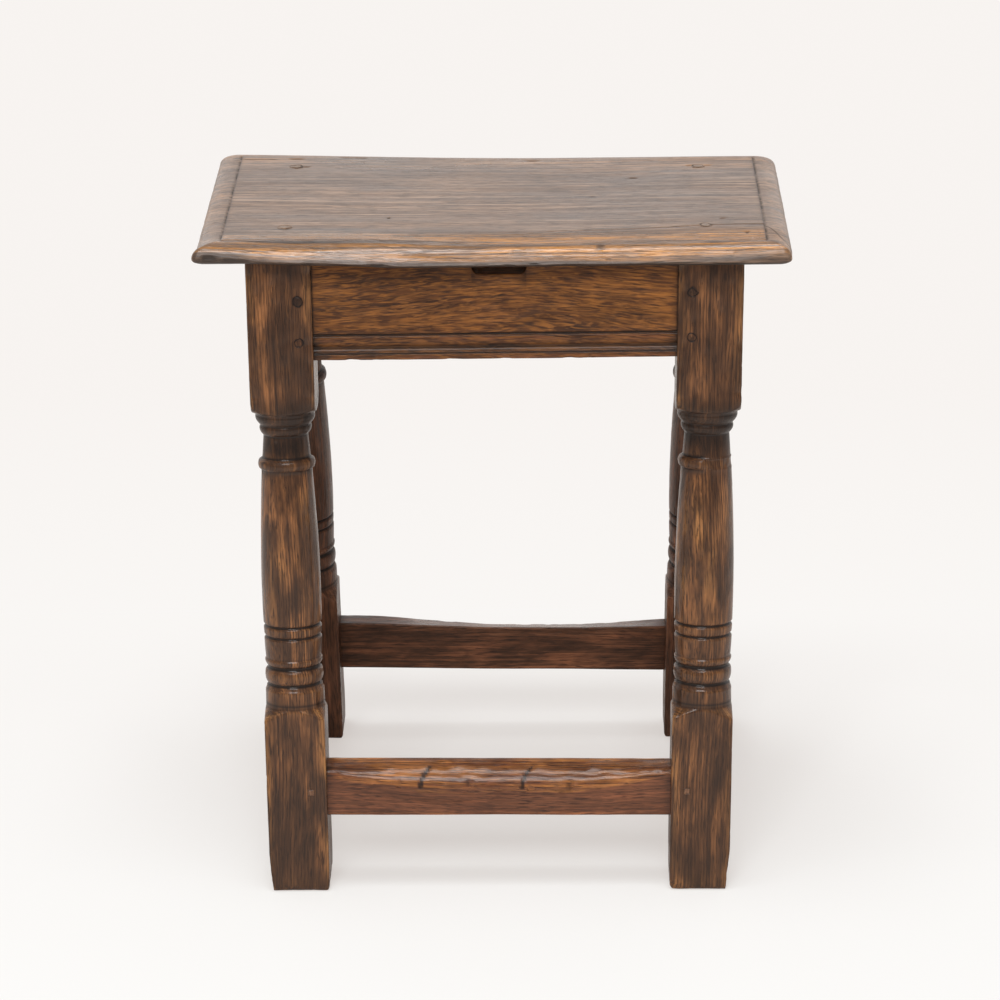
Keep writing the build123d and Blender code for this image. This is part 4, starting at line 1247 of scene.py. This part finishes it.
# the split is painted dark on the end moulding, as the shadow in its gap
in_split = (side_x == 1) * bell(rim_y, split_rim, 1.1)
edge_grime_and_shade = np.maximum(edge_grime_and_shade, 0.95 * in_split * (edge_below < 9))
from_plug = np.hypot(edge_rings[..., 0] - PLUG[0], edge_rings[..., 1] - PLUG[1]) / PLUG_RADIUS
edge_grime_and_shade = np.maximum(edge_grime_and_shade, 0.8 * step(from_plug, 1.25, 0.75) * (edge_below < 6))
edge_grime_and_shade = np.clip(edge_grime_and_shade, 0, 0.92)
top_grime_and_shade = 0.6 * np.exp(-near_rim)
# the open split is painted dark along the top, as the shadow in its gap
top_grime_and_shade = np.maximum(top_grime_and_shade, opened * bell(split_off, 0, 0.85))
top_grime_and_shade = np.maximum(top_grime_and_shade, 0.95 * step(nail_off, 1.9, 0.9))
top_grime_and_shade = np.maximum(top_grime_and_shade, 0.8 * dented)
# the front and the back of the top are rubbed golden
streaked = 0.75 + 0.5 * noise(np.stack([grid_x, grid_y, grid_y * 0], -1), (80, 14, 1), 48)
golden = (step(grid_y, -94, -108) + 0.3 * step(grid_y, 55, 100)) * streaked
seat_wear = np.concatenate([golden.ravel(), edge_wear[1:-1].ravel(), np.zeros(nx * ny)])
# the underside of the board is painted darker all over, as shade
seat_grime_and_shade = np.concatenate([top_grime_and_shade.ravel(), edge_grime_and_shade[1:-1].ravel(), np.full(nx * ny, 0.4)])
finish_piece(
    "seat_board", seat_points, seat_faces,
    [seat_grain, seat_wear[:, None], seat_grime_and_shade[:, None]],
    ["seat_board"], seat_oak,
)

# ============================================================ the pegs of the seat
# Four round pegs driven through the board into the leg tops, worn level with it.

seat_peg_oak = aged_oak(
    "end grain of the seat pegs", "#a9886c", "#8a6f58", "#5f4a3a", "#21160f", "#a9886c",
    soiling=0.2, coat=0.12, gloss=0.45, ring_scale=200.0, contrast=0.6, wander=0.01,
)
SEAT_PEG_LENGTH = 16.0
SEAT_PEG_PROUD = 0.3
seat_spots = []
for sx in (-1, 1):
    for sy in (-1, 1):
        x = sx * (leg_x(UNDERSIDE) + HEAD_HALF / LEAN - 29.0)
        y = sy * (leg_y(UNDERSIDE) + HEAD_HALF / SPLAY - 31.5)
        at = np.array([x]), np.array([y])
        top = warped(*at, SEAT_TOP + seat_top_shape(*at))[0, 2]
        middle = top + SEAT_PEG_PROUD - SEAT_PEG_LENGTH / 2
        seat_spots.append(((x, y, middle), (0, 0, 1), (1, 0.3, 0)))
make_pegs(
    "seat_pegs", seat_spots,
    {"Radius": 0.0052, "Length": SEAT_PEG_LENGTH * 0.001, "Sides": 20, "Seed": 3},
    seat_peg_oak, 530.0, [-0.1, 0.3, 0.0, 0.1],
)


# ============================================================ floor, light and camera
# A plain white paper sweep under two softboxes. The paper shows its own near-white
# to the camera, and takes only part of the shade that falls on it.

# what the paper gives off by itself, and how much of the light and shade on it counts
GLOW, SHADE = 0.55, 0.34
# the glow is tinted warm and the light the paper takes a little cool, so the open paper stays
# neutral while its shadow is painted warm
GLOW_TONE, SHADE_TONE = (1.0, 0.93, 0.895), (1.0, 1.08, 1.12)

sweep = bpy.data.meshes.new("floor")
sweep.from_pydata([(-12, -8, 0), (12, -8, 0), (12, 14, 0), (-12, 14, 0)], [], [(0, 1, 2, 3)])
floor = bpy.data.objects.new("floor", sweep)
bpy.context.scene.collection.objects.link(floor)
paper = bpy.data.materials.new("white paper sweep")
paper.use_nodes = True
tree = paper.node_tree
tree.nodes.clear()
place = add(tree, "ShaderNodeTexCoord", (-800, 200)).outputs["Object"]
split = add(tree, "ShaderNodeSeparateXYZ", (-600, 200), {0: place}).outputs[1]
far = add(
    tree, "ShaderNodeMapRange", (-400, 200),
    {"Value": split, "From Min": -0.4, "From Max": 1.1},
).outputs[0]
tint = mix(tree, (-200, 200), far, linear("#fbfaf8"), linear("#f7f3f0"))
path = add(tree, "ShaderNodeLightPath", (-400, 500)).outputs["Is Camera Ray"]
glow = add(tree, "ShaderNodeEmission", (0, 200), {"Strength": GLOW, "Color": mix(
    tree, (-200, 150), 1.0, tint, GLOW_TONE + (1.0,), "MULTIPLY")}).outputs[0]
shade = add(tree, "ShaderNodeBsdfDiffuse", (0, 50), {"Color": mix(
    tree, (-200, 0), 1.0, tint, tuple(SHADE * v for v in SHADE_TONE) + (1.0,),
    "MULTIPLY")}).outputs[0]
shown = add(tree, "ShaderNodeAddShader", (200, 150), {0: glow, 1: shade}).outputs[0]
# behind the stool only the paper's own white shows, as where a sweep would curve up
behind = add(
    tree, "ShaderNodeMapRange", (0, 350), {"Value": split, "From Min": 0.22, "From Max": 0.44},
    interpolation_type="SMOOTHSTEP",
).outputs[0]
plain = add(tree, "ShaderNodeEmission", (0, 450), {"Color": tint, "Strength": 1.005}).outputs[0]
shown = add(tree, "ShaderNodeMixShader", (300, 300), {0: behind, 1: shown, 2: plain}).outputs[0]
bounce = add(tree, "ShaderNodeBsdfDiffuse", (0, -150), {"Color": linear("#efe8e2")}).outputs[0]
surface = add(tree, "ShaderNodeMixShader", (400, 0), {0: path, 1: bounce, 2: shown})
output = add(tree, "ShaderNodeOutputMaterial", (600, 0))
tree.links.new(surface.outputs[0], output.inputs[0])
sweep.materials.append(paper)

# the bright backdrop stands low behind the stool, in a dimmer room
ROOM, BACKDROP = 0.38, 1.15

world = bpy.data.worlds.new("studio")
bpy.context.scene.world = world
world.use_nodes = True
tree = world.node_tree
tree.nodes.clear()
way = add(tree, "ShaderNodeTexCoord", (-900, 0)).outputs["Generated"]
split = add(tree, "ShaderNodeSeparateXYZ", (-700, 0), {0: way}).outputs
low_down = add(
    tree, "ShaderNodeMapRange", (-500, 100),
    {"Value": split[2], "From Min": 0.62, "From Max": 0.30}, interpolation_type="SMOOTHSTEP",
).outputs[0]
behind = add(
    tree, "ShaderNodeMapRange", (-500, -150),
    {"Value": split[1], "From Min": 0.0, "From Max": 0.75}, interpolation_type="SMOOTHSTEP",
).outputs[0]
power = add(
    tree, "ShaderNodeMath", (-300, 0),
    {0: math_node(tree, (-400, 0), "MULTIPLY", low_down, behind), 1: BACKDROP - ROOM, 2: ROOM},
    operation="MULTIPLY_ADD",
).outputs[0]
path = add(tree, "ShaderNodeLightPath", (-400, 200)).outputs["Is Camera Ray"]
lit = add(
    tree, "ShaderNodeBackground", (-200, 0), {"Color": linear("#ffffff"), "Strength": power}
).outputs[0]
seen = add(
    tree, "ShaderNodeBackground", (-200, -150), {"Color": linear("#f7f3f0"), "Strength": 1.0}
).outputs[0]
blend = add(tree, "ShaderNodeMixShader", (0, 0), {0: path, 1: lit, 2: seen})
output = add(tree, "ShaderNodeOutputWorld", (200, 0))
tree.links.new(blend.outputs[0], output.inputs[0])


# one softbox straight overhead, and one high up behind the camera: size, energy, place
SOFTBOXES = {
    "overhead softbox": ((3.4, 2.2), 215.0, (-0.2, -0.38, 6.0)),
    "front softbox": ((3.0, 2.4), 236.0, (-0.5, -4.6, 4.8)),
}

for name, (size, energy, place) in SOFTBOXES.items():
    lamp = bpy.data.lights.new(name, "AREA")
    lamp.shape = "RECTANGLE"
    lamp.size, lamp.size_y = size
    lamp.energy = energy
    softbox = bpy.data.objects.new(name, lamp)
    softbox.location = place
    softbox.rotation_euler = (-Vector(place)).to_track_quat("-Z", "Y").to_euler()
    bpy.context.scene.collection.objects.link(softbox)

# a long lens from above the front: its place in metres, its angles in radians
camera_place = Vector((0.04449, -3.115528, 1.388071))
pitch, yaw, roll = 0.345, -0.014, 0.01
SENSOR, LENS_TO_SENSOR = 36.0, 4.03786
level = math.cos(pitch)
ahead = Vector((math.sin(yaw) * level, math.cos(yaw) * level, -math.sin(pitch)))
right = Vector((math.cos(yaw), -math.sin(yaw), 0))
down = ahead.cross(right)
x_axis = math.cos(roll) * right + math.sin(roll) * down
down_axis = -math.sin(roll) * right + math.cos(roll) * down
lens = bpy.data.cameras.new("camera")
lens.sensor_width = SENSOR
lens.lens = LENS_TO_SENSOR * SENSOR
camera = bpy.data.objects.new("camera", lens)
turned = Matrix((x_axis, -down_axis, -ahead)).transposed().to_4x4()
camera.matrix_world = Matrix.Translation(camera_place) @ turned
bpy.context.scene.collection.objects.link(camera)
bpy.context.scene.camera = camera
bpy.context.scene.view_settings.view_transform = "Standard"
